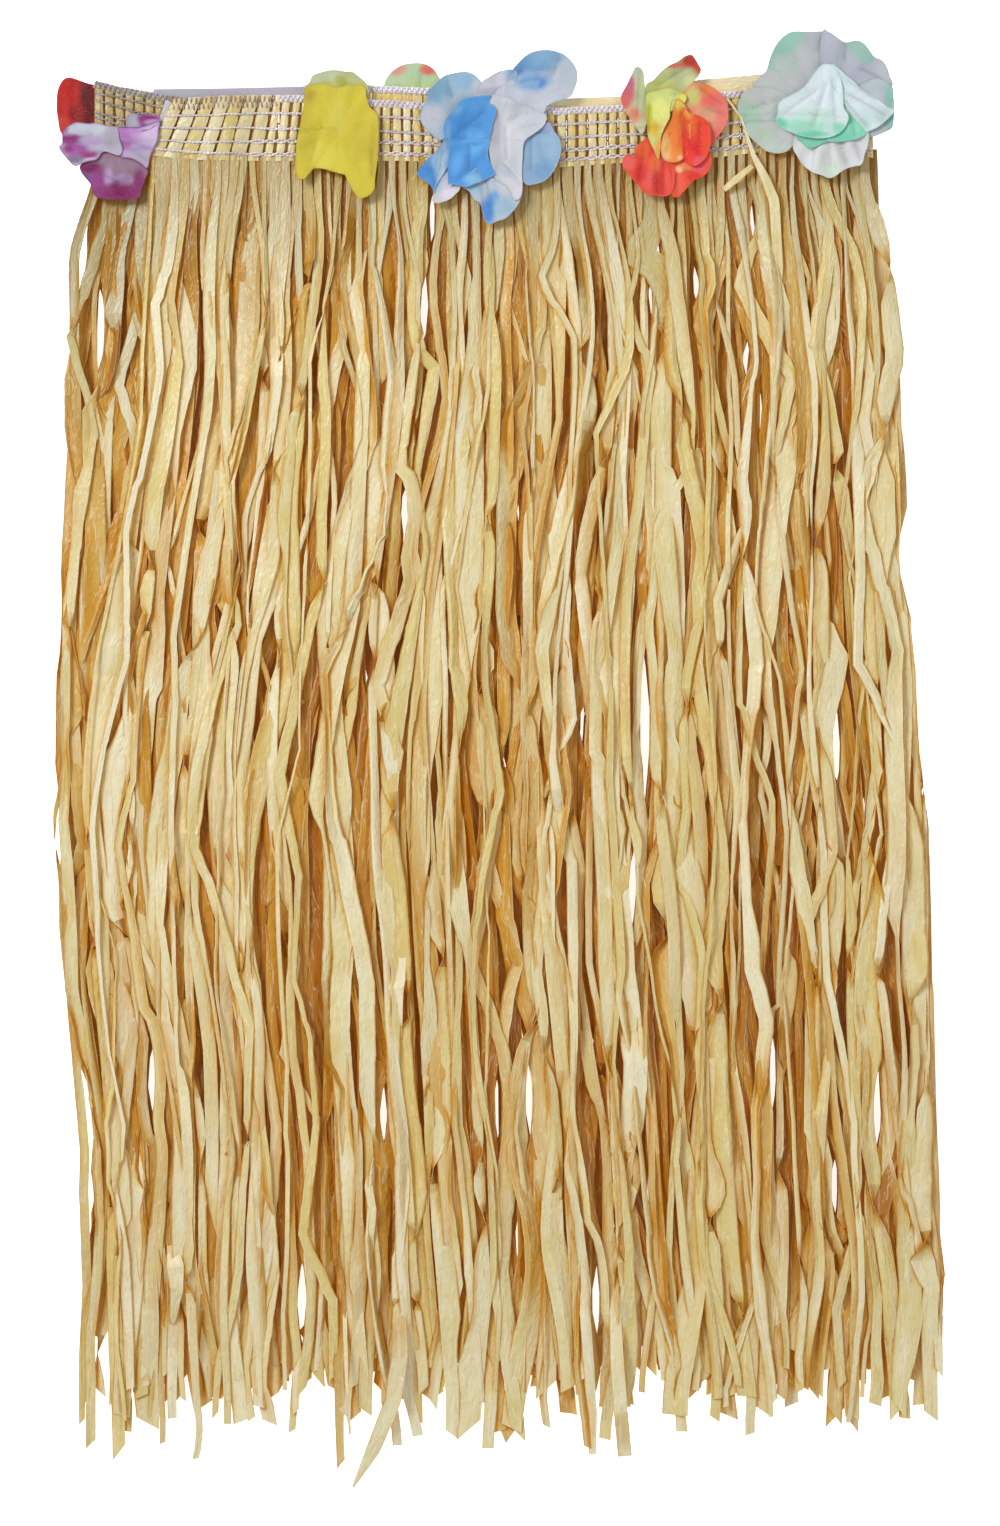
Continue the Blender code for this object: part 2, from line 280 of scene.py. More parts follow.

# %% [markdown]
# ## Paper raffia
# Paper raffia is a thin crinkled paper ribbon, pale straw where light falls on it and deep gold
# between the layers, where light has passed through and bounced off other ribbons. That gold is
# painted shade and a painted glow. The material has faint streaks along each ribbon, its own tone
# for each ribbon, and a crinkled bump. It reads the ribbon's own UV map, across and along the
# strip, and the tone and the painted shade kept on its points.

# %% Sockets, places and noise
def new_material(name):
    """Node material with its shader, as (material, tree, shader)."""
    material = bpy.data.materials.new(name)
    material.use_nodes = True
    return material, material.node_tree, material.node_tree.nodes["Principled BSDF"]


def feed(tree, socket, value):
    """Give a socket its value: a link from another socket, a colour, or a number."""
    if isinstance(value, bpy.types.NodeSocket):
        tree.links.new(value, socket)
    elif isinstance(value, (tuple, list)):
        socket.default_value = (*value, 1.0)
    else:
        socket.default_value = value


def strip_place(tree):
    """Place on the piece's own UV map: across and along the strip, in metres."""
    node = tree.nodes.new("ShaderNodeUVMap")
    node.uv_map = "strip"
    return node.outputs["UV"]


def kept(tree, name):
    """Value of one of the piece's own attributes, as kept on its points."""
    node = tree.nodes.new("ShaderNodeAttribute")
    node.attribute_name = name
    return node.outputs["Fac"]


def stretched(tree, place, scale):
    """Mapping that stretches a pattern by `scale` on its three axes."""
    node = tree.nodes.new("ShaderNodeMapping")
    node.inputs["Scale"].default_value = scale
    tree.links.new(place, node.inputs["Vector"])
    return node.outputs["Vector"]


def noise(tree, place, scale, detail, roughness=0.55):
    """Noise with `scale` waves to the metre: one number, or three for the three axes."""
    if isinstance(scale, tuple):
        place, scale = stretched(tree, place, scale), 1.0
    node = tree.nodes.new("ShaderNodeTexNoise")
    finish(node, {"Scale": scale, "Detail": detail, "Roughness": roughness})
    tree.links.new(place, node.inputs["Vector"])
    return node.outputs["Fac"]


# %% Mixes, creases and bumps
def mixed(tree, factor, low, high, blend="MIX"):
    """Colour mix: each of low and high is a colour or a socket, and factor a number or a socket."""
    node = tree.nodes.new("ShaderNodeMix")
    node.data_type = "RGBA"
    node.blend_type = blend
    for index, value in ((0, factor), (6, low), (7, high)):
        feed(tree, node.inputs[index], value)
    return node.outputs[2]


def spread(tree, value, low, high, to_low=0.0, to_high=1.0):
    """Map Range from low..high to to_low..to_high, held at its ends."""
    node = tree.nodes.new("ShaderNodeMapRange")
    finish(node, {"From Min": low, "From Max": high, "To Min": to_low, "To Max": to_high})
    tree.links.new(value, node.inputs["Value"])
    return node.outputs["Result"]


def maths(tree, operation, first, second):
    """Math node on two sockets, or on a socket and a number."""
    node = tree.nodes.new("ShaderNodeMath")
    node.operation = operation
    for socket, value in zip(node.inputs, (first, second)):
        feed(tree, socket, value)
    return node.outputs[0]


def away_from(tree, pattern, level):
    """How far a pattern is from a level, up or down."""
    return maths(tree, "ABSOLUTE", maths(tree, "SUBTRACT", pattern, level), 0.0)


def crease_lines(tree, pattern, level, width, strength):
    """Thin lines where a noise pattern crosses a level: `strength` on the line, 0 from `width` away."""
    return spread(tree, away_from(tree, pattern, level), 0.0, width, strength, 0.0)


def bumped(tree, shader, height, strength, distance):
    """Bump the shader's normal by a height pattern that stands `distance` metres high."""
    bump = tree.nodes.new("ShaderNodeBump")
    finish(bump, {"Strength": strength, "Distance": distance})
    tree.links.new(height, bump.inputs["Height"])
    tree.links.new(bump.outputs["Normal"], shader.inputs["Normal"])


# %% The raffia's colours and patterns
STRAW_PALE = (0.805, 0.745, 0.515)
STRAW = (0.685, 0.558, 0.216)
# Painted shade: gold and amber for the covered layers, and a deep brown for the darkest gaps.
GOLD = (0.58, 0.30, 0.028)
AMBER = (0.43, 0.16, 0.014)
DEEP_SHADE = (0.10, 0.032, 0.006)
DUSK = (0.42, 0.42, 0.38)        # what is left of the colour where a ribbon is wholly in shadow
PAINTED_LINE_SHADE = (0.48, 0.235, 0.026)
GLEAM = (0.93, 0.87, 0.66)       # a raised crease catches the light
GLOW = (0.94, 0.66, 0.07)        # painted shade: a covered place is tinted this gold, for light that comes through the paper above
THROUGH = (1.00, 0.33, 0.015)    # painted glow: the light that has come through the paper, at a covered place
THROUGH_LIGHT = 0.062
SHELTER = 0.008                  # how near the paper above has to be, in metres
STREAKS = (900.0, 9.0, 1.0)      # waves to the metre, across and along a ribbon: lines of fibre
CLOUDS = (70.0, 28.0, 1.0)       # slow changes of tone
FOLD_LINES = (150.0, 7.0, 1.0)   # painted shade lines along the ribbon, as at creases
CROSS_LINES = (60.0, 42.0, 1.0)  # and across it
# Painted highlight lines, where a raised crease would catch the light.
SHINE_LINES = (130.0, 14.0, 1.0)
CRINKLE = (190.0, 90.0, 1.0)
FIBRE = (700.0, 260.0, 1.0)
PAPER_BUMP = 0.0016              # height of the crinkles, in metres


# %% The raffia's finish
def raffia_colour(tree, place, streaks):
    """Straw by the ribbon's tone, painted gold and amber shade by the painted shade on its points, then
    painted shade and highlights at rims and creases, and painted gleams.
    """
    clouds = noise(tree, place, CLOUDS, 2.0)
    tone = maths(tree, "ADD", kept(tree, "tone"), spread(tree, clouds, 0.3, 0.7, -0.35, 0.35))
    base = mixed(tree, tone, STRAW, STRAW_PALE)
    depth, rim = kept(tree, "depth"), kept(tree, "rim")
    shade = maths(tree, "ADD", depth, spread(tree, clouds, 0.35, 0.65, -0.08, 0.08))
    folds_along = noise(tree, place, FOLD_LINES, 2.0, 0.5)
    folds_across = noise(tree, place, CROSS_LINES, 3.0, 0.6)
    shine = noise(tree, place, SHINE_LINES, 3.0, 0.6)
    # Painted shade: gold, amber and deep brown by the painted shade on the points. The gold fibre streaks are
    # the paper's own. Painted shade on one rim, a painted highlight on the other, painted shade along
    # creases, painted highlights on shine lines.
    for share, tint in (
            (spread(tree, shade, 0.09, 0.5), GOLD),
            (spread(tree, shade, 0.5, 1.0), AMBER),
            (spread(tree, depth, 1.05, 1.6), DEEP_SHADE),
            (spread(tree, streaks, 0.5, 0.8, 0.0, 0.07), GOLD),
            (spread(tree, rim, 0.6, 0.95, 0.0, 0.75), PAINTED_LINE_SHADE),
            (spread(tree, rim, -0.7, -0.97, 0.0, 0.45), STRAW_PALE),
            (crease_lines(tree, folds_along, 0.5, 0.014, 0.22), PAINTED_LINE_SHADE),
            (crease_lines(tree, folds_across, 0.5, 0.012, 0.18), PAINTED_LINE_SHADE),
            (crease_lines(tree, shine, 0.47, 0.016, 0.4), GLEAM)):
        base = mixed(tree, share, base, tint)
    # The dusk on the points darkens the colour, mostly painted shadow under the band and over the lap.
    return mixed(tree, kept(tree, "dusk"), base, DUSK, "MULTIPLY")


def raffia_material(name, cover_shade=1.0):
    """Paper raffia with painted shade and a painted glow, both gold, where the ambient occlusion finds it
    covered by the paper above.

    Its last argument is the share of that, which is less where the raffia is pressed tight."""
    material, tree, shader = new_material(name)
    place = strip_place(tree)
    streaks = noise(tree, place, STREAKS, 4.0, 0.6)
    base = raffia_colour(tree, place, streaks)
    open_sky = tree.nodes.new("ShaderNodeAmbientOcclusion")
    open_sky.samples = 4
    open_sky.inputs["Distance"].default_value = SHELTER
    # Painted shade and painted glow: ambient occlusion finds where paper above covers a place, which is then
    # tinted gold and glows.
    covered = spread(tree, open_sky.outputs["AO"], 0.44, 0.98, cover_shade, 0.0)
    feed(tree, shader.inputs["Base Color"], mixed(tree, covered, base, GLOW, "MULTIPLY"))
    feed(tree, shader.inputs["Emission Color"], mixed(tree, covered, (0.0, 0.0, 0.0), THROUGH))
    finish(shader, {"Emission Strength": THROUGH_LIGHT, "Roughness": 0.33, "Specular IOR Level": 0.28})
    ridge = away_from(tree, noise(tree, place, CRINKLE, 2.5, 0.55), 0.5)
    fine = noise(tree, place, FIBRE, 2.0, 0.5)
    grain = maths(tree, "ADD", maths(tree, "MULTIPLY", fine, 0.28), maths(tree, "MULTIPLY", streaks, 0.06))
    height = maths(tree, "ADD", maths(tree, "MULTIPLY", ridge, 2.0), grain)
    bumped(tree, shader, height, 0.6, PAPER_BUMP)
    return material


raffia = raffia_material("raffia")
pressed_raffia = raffia_material("raffia_pressed", cover_shade=0.35)
print("materials", raffia.name, pressed_raffia.name)

# %% [markdown]
# ## One ribbon as a formula
# A ribbon is a profile carried along a path. Its profile is a few short flat pieces, each turned by
# its own angle, which is how a crumpled paper ribbon folds along its length. The path runs down
# from a head in the waistband, strays, and turns at kinks. The angles change in straight steps
# between knots, so the creases stay crisp. Half turns show the other face and pinch the ribbon.

# %% Random lines with crisp corners
STATIONS = 96            # sections along a ribbon of the front
HIDDEN_STATIONS = 44     # sections along a ribbon that is mostly covered
ACROSS = 6               # points across a ribbon of the top layer


def creased(rng, count, stations, gap, size):
    """`count` lines over `stations` places, straight between random heights about `gap` places apart."""
    lines = np.empty((count, stations))
    for line in lines:
        steps = rng.integers(max(1, gap // 2), gap + gap // 2 + 1, stations)
        knots = np.concatenate([[0], np.cumsum(steps)])
        line[:] = np.interp(np.arange(stations), knots, rng.normal(0, size, len(knots)))
    return lines


def rolling(rng, count, t, size, turns):
    """`count` smooth lines: three sine waves of up to `turns` turns over the length."""
    total = np.zeros((count, t.shape[-1]))
    for wave in (0.35, 0.6, 1.0):
        phase = rng.uniform(0, 2 * np.pi, (count, 1))
        rate = turns * wave * rng.uniform(0.7, 1.2, (count, 1))
        total += np.sin(2 * np.pi * rate * t + phase) * size / 1.7
    return total


# %% How a ribbon is folded and turned over
FOLDED, HALF_OPEN, FLAT = (0.22, 0.42), (0.5, 0.8), (0.9, 1.15)   # open share of the width
FOLDED_TO, FLAT_FROM = 0.30, 0.68                                 # how often each is drawn, of 0..1
CHANGE = (2, 12)         # stations over which one changes to the next
PINCH = 0.7              # a ribbon loses this share of its width in a half turn


def folded_share(rng, count, stations, gap):
    """Open share of each ribbon's width: held folded, half open or flat, with short changes between."""
    lines = np.empty((count, stations))
    for line in lines:
        steps = rng.integers(max(2, gap // 2), gap * 3, stations)
        ends = np.cumsum(steps)
        starts = ends - np.minimum(rng.integers(*CHANGE, stations), steps - 1)
        kind = rng.random(stations + 1)
        share = np.where(kind < FOLDED_TO, rng.uniform(*FOLDED, stations + 1),
                         rng.uniform(*HALF_OPEN, stations + 1))
        share = np.where(kind > FLAT_FROM, rng.uniform(*FLAT, stations + 1), share)
        knots = np.stack([starts, ends], 1).ravel()
        heights = np.stack([share[:-1], share[1:]], 1).ravel()
        line[:] = np.interp(np.arange(stations), knots, heights)
    return lines


def half_turns(rng, t, rate, length):
    """Roll added by half turns, and the pinch there: `rate` turns on average, each over `length`."""
    count = len(t)
    roll = np.zeros_like(t)
    pinch = np.ones_like(t)
    for _ in range(4):
        on = rng.random((count, 1)) < rate / 4
        place = rng.uniform(0.10, 0.97, (count, 1))
        way = rng.choice([-1.0, 1.0], (count, 1))
        reach = length * rng.uniform(0.5, 1.6, (count, 1))
        roll += np.where(on, way * np.pi * ramp(t, place - reach, place + reach), 0)
        pinch *= np.where(on, 1 - PINCH * np.exp(-((t - place) / reach / 0.9) ** 2), 1)
    return roll, pinch


# %% Slits where the floor shows between the ribbons
SLITS = np.array([
    # x, y, half width, half length
    (-243, 266, 3.5, 34), (-40, 331, 3.0, 17), (-45, 277, 3.5, 26), (-57, 152, 3.0, 20),
    (156, 332, 2.5, 14), (98, 310, 2.5, 15), (93, 281, 2.5, 18), (121, 295, 3.0, 14),
    (152, 246, 3.5, 14), (247, 127, 3.0, 30), (90, 22, 4.0, 52), (207, 10, 3.5, 32),
    (82, -78, 3.0, 32), (0, -210, 3.0, 34), (19, -206, 3.0, 32), (-212, -195, 3.5, 30),
    (232, -212, 3.5, 34), (168, -190, 3.0, 30), (-70, -215, 3.0, 25), (206, -260, 3.0, 26),
    (-120, -330, 4.0, 30), (60, -330, 3.5, 30),
], float)
SLIT_OPEN = 0.75         # share of a slit's width that stays open between the ribbons
SLIT_REACH = 1.3         # the ribbons start to part this far past its ends
SLIT_ROUND = 0.85        # below 1, its ends are blunter


def part_at_slits(x, y, half):
    """Push ribbons of half width `half` aside, to the side where each mostly lies, to leave pointed ovals."""
    for slit_x, slit_y, width, length in SLITS:
        swell = np.clip(1 - ((y - slit_y) / (length * SLIT_REACH)) ** 2, 0, 1) ** SLIT_ROUND
        mean_away = ((x - slit_x) * swell).sum(1, keepdims=True) / (swell.sum(1, keepdims=True) + 1e-6)
        side = np.where(mean_away >= 0, 1.0, -1.0)
        need = (SLIT_OPEN * width + half) * swell
        x = np.where(swell > 0, slit_x + side * np.maximum(side * (x - slit_x), need), x)
    return x


# %% Carry the profile along the path
def carry(x, y, z, width, roll, bends):
    """Grid of points (ribbons, stations, across, 3) and its normals.

    Each point is the path's point, plus equal steps sideways across the path that make up the
    width, each turned upwards by roll + its bend, less the mean of the section."""
    step = width[..., None] / bends.shape[-1]
    angle = roll[..., None] + bends
    zero = np.zeros(angle.shape[:2] + (1,))
    aside = np.concatenate([zero, np.cumsum(np.cos(angle) * step, -1)], -1)
    up = np.concatenate([zero, np.cumsum(np.sin(angle) * step, -1)], -1)
    aside -= aside.mean(-1, keepdims=True)
    up -= up.mean(-1, keepdims=True)
    run_x = np.gradient(x, axis=1)
    run_y = np.gradient(y, axis=1)
    length = np.hypot(run_x, run_y)
    side_x = (-run_y / length)[..., None]
    side_y = (run_x / length)[..., None]
    points = np.stack([x[..., None] + aside * side_x, y[..., None] + aside * side_y, z[..., None] + up], -1)
    normals = np.cross(np.gradient(points, axis=1), np.gradient(points, axis=2))
    normals /= np.linalg.norm(normals, axis=-1, keepdims=True) + 1e-12
    return points, normals


# %% A ribbon's two faces
PAPER = 0.22             # wall of the paper, in millimetres
FLOOR_GAP = 0.15         # nothing lies nearer the floor than this
NEXT_ACROSS, NEXT_ALONG = 31.0, 137.0    # each ribbon takes its pattern from another place


def round_the_ring(upper, lower=None):
    """Values for both faces, from their values across the upper face: back over the lower face."""
    return np.concatenate([upper, (upper if lower is None else lower)[:, :, ::-1]], 2)


def rim_of(across):
    """0 inside a strip, 1 at one side edge and -1 at the other, over the front and the back."""
    row = np.zeros(across)
    row[[0, -1]] = 1.0, -1.0
    return np.concatenate([row, row[::-1]])


def strip_values(tone, depth, across, underside):
    """Tone, painted shade and rim on the points: the lower face has the upper one's painted shade, or its
    own.
    """
    count, stations = depth.shape[:2]
    each = stations * 2 * across
    if depth.ndim == 2:
        depth = np.repeat(depth[:, :, None], across, 2)
    depth = round_the_ring(depth, None if underside is None else np.full_like(depth, underside))
    return {
        "tone": np.broadcast_to(tone[:, None], (count, each)),
        "depth": depth.reshape(count, each),
        "rim": np.broadcast_to(rim_of(across), (count, stations, 2 * across)).reshape(count, each),
    }


def ribbon_piece(name, grid, normals, tone, depth, underside=None, dusk=None):
    """Closed thin ribbons from their middle grid: half the paper's wall to each side of it."""
    count, stations, across, _ = grid.shape
    top = grid + normals * PAPER / 2
    bottom = grid - normals * PAPER / 2
    top[..., 2] = np.maximum(top[..., 2], FLOOR_GAP + PAPER)
    bottom[..., 2] = np.maximum(bottom[..., 2], FLOOR_GAP)
    length = lengths_along(grid[:, :, across // 2])
    width = np.linalg.norm(np.diff(grid, axis=2), axis=-1).sum(-1).max(-1)
    ribbon = np.arange(count)[:, None]
    uv_x = (np.linspace(0, 1, across)[None, None] * width[:, None, None]).repeat(stations, 1)
    uv_x = uv_x + (ribbon * NEXT_ACROSS)[..., None]
    uv_y = (length + ribbon * NEXT_ALONG)[..., None].repeat(across, 2)
    values = strip_values(tone, depth, across, underside)
    each = stations * 2 * across
    if dusk is not None:
        values["dusk"] = np.repeat(dusk[:, :, None], 2 * across, 2).reshape(count, each)
    return mesh_from_grids(
        name, round_the_ring(top, bottom).reshape(count, each, 3), shell_faces(stations, 2 * across),
        round_the_ring(np.stack([uv_x, uv_y], -1)).reshape(count, each, 2), values)


def flat_size(grid, breadth):
    """Flat width and length, in metres: the ribbons' mean length, and all their widths side by side."""
    length = np.linalg.norm(np.diff(grid.mean(2), axis=1), axis=-1).sum(1)
    area = float((length * breadth.mean(1)).sum())
    return area / float(length.mean()) * MM, float(length.mean()) * MM


# %% [markdown]
# ## A layer of fringe
# Ribbons hang from every head of the band, but they don't lie side by side: some lie on top, some
# under, and they cross. So each layer is made at its own height with its own share of the heads.
# A ribbon keeps its share of the width all the way down, which makes the fringe spread and draw
# in with the side edges, and then strays from it by waves and kinks.

# %% The recipe of a layer
class Layer(NamedTuple):
    """One layer of fringe, with its sizes in millimetres."""
    name: str
    run: np.ndarray           # the run of the waistband that it hangs from
    run_z: object             # that run's height, as a function of x
    sides: tuple              # tables with its left and its right side edge
    level: tuple              # lowest and highest place in the heap
    ribbons: int
    cut: tuple                # mean and spread of the cut width
    hem: tuple                # mean and spread of the lower ends
    depth: float              # painted shade: 0 on top, 1 at the bottom of the heap
    dusk: tuple               # shadow under the band, shadow below, and how far down the first reaches
    stations: int = STATIONS
    across: int = ACROSS
    tips: list = []           # ends that hang lower than the hem
    heads: object = None      # places along the run, where they aren't spread over it
    neck: float = 0.5         # open share of the width just under the band
    rise: float = 0.0         # start of the ribbons over the middle of the run
    sorting: float = 0.34     # painted shade: how much darker the layer's lower ribbons are
    under_band_shade: float = 0.22    # painted shade just under the band
    underside: float = None
    wide_to: float = 0.0      # ribbons from the wide heads, up to here along the run, stay open


class Hang(NamedTuple):
    """Where a layer's ribbons hang: one row for each ribbon, one column for each station."""
    heads: np.ndarray         # place of each head along the run
    head_x: np.ndarray
    t: np.ndarray             # share of the ribbon's length
    y: np.ndarray
    drop: np.ndarray          # how far below its head
    left: np.ndarray          # x of the fringe's side edges at that height
    right: np.ndarray


def gap_in(layer, gap, least=2):
    """Stations between knots: `gap` of a front ribbon's, in the layer's own stations."""
    return max(least, int(gap * layer.stations / STATIONS))


# %% Where its ribbons hang
HEAD_PITCH = 6.3
HEAD_HOLD = 3.0          # a ribbon starts this far up inside the band, under the lowest row of yarn
UNEVEN = 0.35            # how unevenly the stations are spaced
LONG_SHARE = 0.14        # so many ribbons hang below the hem
LONG_BY = 10.0           # by this much on average
LOWEST = -436.0
SIDE_INSET = 6           # the outer ribbons hang this far inside the side edges
FAN = 0.6                # the front fans out to the left over the lap's fringe, this far towards its edge
FAN_DROP = (110, 400)    # and does so between these drops


def heads_of(rng, length, count):
    """`count` places over a run: whole heads, spread evenly and then shifted a little."""
    places = (np.arange(count) + rng.uniform(-0.3, 0.3, count) + 0.5) * length / count
    return np.clip(np.round(places / HEAD_PITCH - 0.5) + 0.5, 0.5, length / HEAD_PITCH - 0.5) * HEAD_PITCH


def edge_x(table, side, y):
    """x of the left (1) or right (2) side edge of the fringe at heights y."""
    return np.interp(y, table[:, 0], table[:, side])


def hang(rng, layer):
    """From each head straight down to a hem that is uneven, and lowest at the layer's tips."""
    heads = heads_of(rng, run_length(layer.run), layer.ribbons) if layer.heads is None else layer.heads
    count = layer.ribbons
    t = np.linspace(0, 1, layer.stations)[None].repeat(count, 0)
    t[:, 1:-1] += rng.uniform(-UNEVEN, UNEVEN, (count, layer.stations - 2)) / layer.stations
    head_x, head_y = run_place(layer.run, heads, 0.0)
    head_y = head_y + HEAD_HOLD
    hem_y = rng.normal(*layer.hem, count) - rng.exponential(LONG_BY, count) * (rng.random(count) < LONG_SHARE)
    hem_y = np.maximum(hem_y, LOWEST)
    ends = layer.sides[0][0, 1] + SIDE_INSET, layer.sides[1][0, 2] - SIDE_INSET
    hang_x = np.interp(head_x, (head_x.min(), head_x.max()), ends)
    for tip_x, tip_y in layer.tips:
        hem_y[np.argmin(np.abs(hang_x - tip_x))] = tip_y
    y = head_y[:, None] + (hem_y - head_y)[:, None] * t
    drop = head_y[:, None] - y
    left = edge_x(layer.sides[0], 1, y)
    left = left + FAN * (edge_x(edges, 1, y) - left) * ramp(drop, *FAN_DROP)
    return Hang(heads, head_x, t, y, drop, left, edge_x(layer.sides[1], 2, y))


# %% How wide they lie open
CUT_LIMITS = (4.0, 19.0)
HALF_TURNS = 1.9         # of a ribbon, on average
TURN_LENGTH = 0.015      # share of the ribbon that one takes
WIDE_NECK = 0.85         # under the wide heads the ribbons stay nearly flat
WIDE_FADE = 24           # over this distance along the run that ends
OPEN_LOW = 0.70          # low down, no ribbon is folded tighter than this
END_LOSS = 0.3           # a cut end is narrower by up to this share


def open_width(rng, layer, place):
    """Cut width, its open share under the band, width at each station, and the roll of the half turns."""
    count, t, drop = layer.ribbons, place.t, place.drop
    cut = np.clip(rng.normal(*layer.cut, count), *CUT_LIMITS)[:, None]
    roll, pinch = half_turns(rng, t, HALF_TURNS, TURN_LENGTH)
    neck = layer.neck
    if layer.wide_to:
        past = ramp(place.heads, layer.wide_to, layer.wide_to + WIDE_FADE)
        neck = neck + (WIDE_NECK - neck) * (1 - past)[:, None]
    opened = neck + (1 - neck) * ramp(drop, 3, 40 + 60 * rng.random((count, 1)))
    end = 1 - END_LOSS * rng.random((count, 1)) * ramp(t, 0.92, 1.0)
    share = folded_share(rng, count, layer.stations, gap_in(layer, 9, 3))
    share = share + np.maximum(OPEN_LOW - share, 0) * ramp(t, 0.70, 0.95)
    breadth = cut * opened * pinch * end * (share * ramp(drop, 0, 50) + 1 - ramp(drop, 0, 50))
    return cut, opened, breadth, roll


# %% How they stray sideways
LEAVE_PLACE = 0.020      # share of the whole width by which a ribbon leaves its own place
WAVE, WAVE_TURNS = 2.6, 1.4
KINK, KINK_GAP = 6.6, 11
NUDGE, NUDGE_GAP = 1.0, 6
END_SWING = 8.5
FOLD_TO_SIDE = 0.62      # a folded ribbon lies to one side of its place
RAGGED = 2.0             # how unevenly the outer ribbons end at a side edge


def stray(rng, layer, place, cut, opened, breadth):
    """x of each station: the ribbon's share of the width, plus waves, kinks and nudges, inside the sides."""
    count, t, drop, left, right = layer.ribbons, place.t, place.drop, place.left, place.right
    share = ((place.head_x - left[:, 0]) / (right[:, 0] - left[:, 0]))[:, None]
    share = share + rng.normal(0, LEAVE_PLACE, (count, 1)) * ramp(t, 0.05, 1.0)
    loose = ramp(drop, 6, 100)
    x = left + (right - left) * share
    x = x + rolling(rng, count, t, WAVE, WAVE_TURNS) * loose
    kinks = creased(rng, count, layer.stations, gap_in(layer, KINK_GAP), KINK)
    x = x + kinks * loose * (1 - 0.4 * ramp(t, 0.55, 0.85))
    x = x + creased(rng, count, layer.stations, gap_in(layer, NUDGE_GAP), NUDGE) * loose
    x = x + rng.normal(0, END_SWING, (count, 1)) * ramp(t, 0.88, 1.0)
    x = x + rng.choice([-0.5, 0.5], (count, 1)) * (cut * FOLD_TO_SIDE * opened - breadth) * ramp(drop, 20, 80)
    half = breadth * 0.48
    ragged = creased(np.random.default_rng(count), 2 * count, layer.stations, gap_in(layer, 9), RAGGED)
    x = np.clip(x, left + half + ragged[:count], right - half + ragged[count:])
    return part_at_slits(x, place.y, half)


# %% How they bend across, and how high they lie
ROLL, ROLL_KINK = 0.05, 0.17     # slow roll and its kinks, in radians
BEND = 0.05                      # bend of each strip of the profile
GUTTER, DEEPEST = 0.36, 1.2      # a gutter folds along the ribbon, no further than this
GUTTER_SHARE = 0.5               # so many ribbons have one
HEAVE, HEAVE_KINK = 0.4, 0.95    # waves and kinks in the height, in millimetres
SETTLE = 0.45                    # the ends lie lower by this share


def folding(rng, layer, place, roll):
    """Roll of each section, and the bends between the flat strips of its profile."""
    count, stations, pieces, drop = layer.ribbons, layer.stations, layer.across - 1, place.drop
    roll = roll + rolling(rng, count, place.t, ROLL, 3.0)
    roll = roll + creased(rng, count, stations, gap_in(layer, 7), ROLL_KINK)
    lines = creased(rng, count * pieces, stations, gap_in(layer, 7), BEND)
    bends = lines.reshape(count, pieces, stations).swapaxes(1, 2)
    gutter = np.abs(creased(rng, count, stations, gap_in(layer, 12), GUTTER)) * ramp(drop, 5, 60)
    gutter = gutter * (rng.random((count, 1)) < GUTTER_SHARE)
    crease = rng.integers(1, pieces, count)
    way = np.where(np.arange(pieces)[None] < crease[:, None], -1.0, 1.0) * rng.choice([-1, 1], (count, 1))
    bends = bends * (0.3 + 0.7 * ramp(drop, 0, 60))[..., None]
    return roll * ramp(drop, 0, 40), bends + way[:, None, :] * np.minimum(gutter, DEEPEST)[..., None]


def heap(rng, layer, place):
    """Height of each station, from the band down to the ribbon's own rank in the heap, and that rank."""
    count, t = layer.ribbons, place.t
    full = ramp(place.drop, 5, 110)
    rank = rng.uniform(*layer.level, (count, 1))
    start_z = layer.run_z(place.head_x)[:, None] + layer.rise
    z = start_z * (1 - full) + rank * full
    heave = rolling(rng, count, t, HEAVE, 3.0)
    heave = heave + creased(rng, count, layer.stations, gap_in(layer, 4), HEAVE_KINK)
    return (z + heave * full) * (1 - SETTLE * ramp(t, 0.84, 1.0)), rank


# %% Its painted shade
SLANT = 0.75             # slope of the cut ends
TONE = (0.52, 0.3)
CURL_TINT = 0.17         # one edge of a curled ribbon is in its own shade
TILT_TINT = 1.5          # and so is a face that is turned up on edge
LOW_TINT = 0.13          # painted shade: the lower half is a deeper gold
EDGE_BAND = (4, 26)      # near a side edge, between these distances, light comes in


def painted_layer_shade(rng, layer, place, x, normals, rank):
    """Painted shade of each point: the layer's own, its rank, the band's shade, curled edges, tilted faces.
    """
    count, t, drop, across = layer.ribbons, place.t, place.drop, layer.across
    sunk = (layer.level[1] - rank) / (layer.level[1] - layer.level[0]) - 0.5
    patches = creased(rng, count, layer.stations, gap_in(layer, 14), 0.12 + 0.10 * layer.depth)
    tint = layer.depth + layer.sorting * sunk + patches
    tint = tint + LOW_TINT * ramp(t, 0.5, 0.75)
    # Less painted shade near the side edges, where light comes in, and at the lower ends.
    inside = ramp(np.minimum(x - place.left, place.right - x), *EDGE_BAND)
    tint = tint * (0.25 + 0.75 * inside) * (1 - 0.75 * ramp(t, 0.84, 0.97))
    tint = np.maximum(tint, layer.under_band_shade * (1 - ramp(drop, 10, 60 + 90 * (layer.under_band_shade > 0.5))))
    curl = creased(rng, count, layer.stations, gap_in(layer, 12), CURL_TINT) * (1 - 0.5 * ramp(t, 0.88, 1.0))
    tint = tint[..., None] + curl[..., None] * np.linspace(-1, 1, across)
    return np.clip(tint + TILT_TINT * np.clip(1 - np.abs(normals[..., 2]) - 0.015, 0, 0.4), 0, 1)


def band_shadow(rng, layer, drop):
    """Shadow on the ribbons: deep under the band, and then what the layer has of its own."""
    deep, low, reach = layer.dusk
    return low + (deep - low) * (1 - ramp(drop, 4, reach * rng.uniform(0.6, 1.3, (layer.ribbons, 1))))


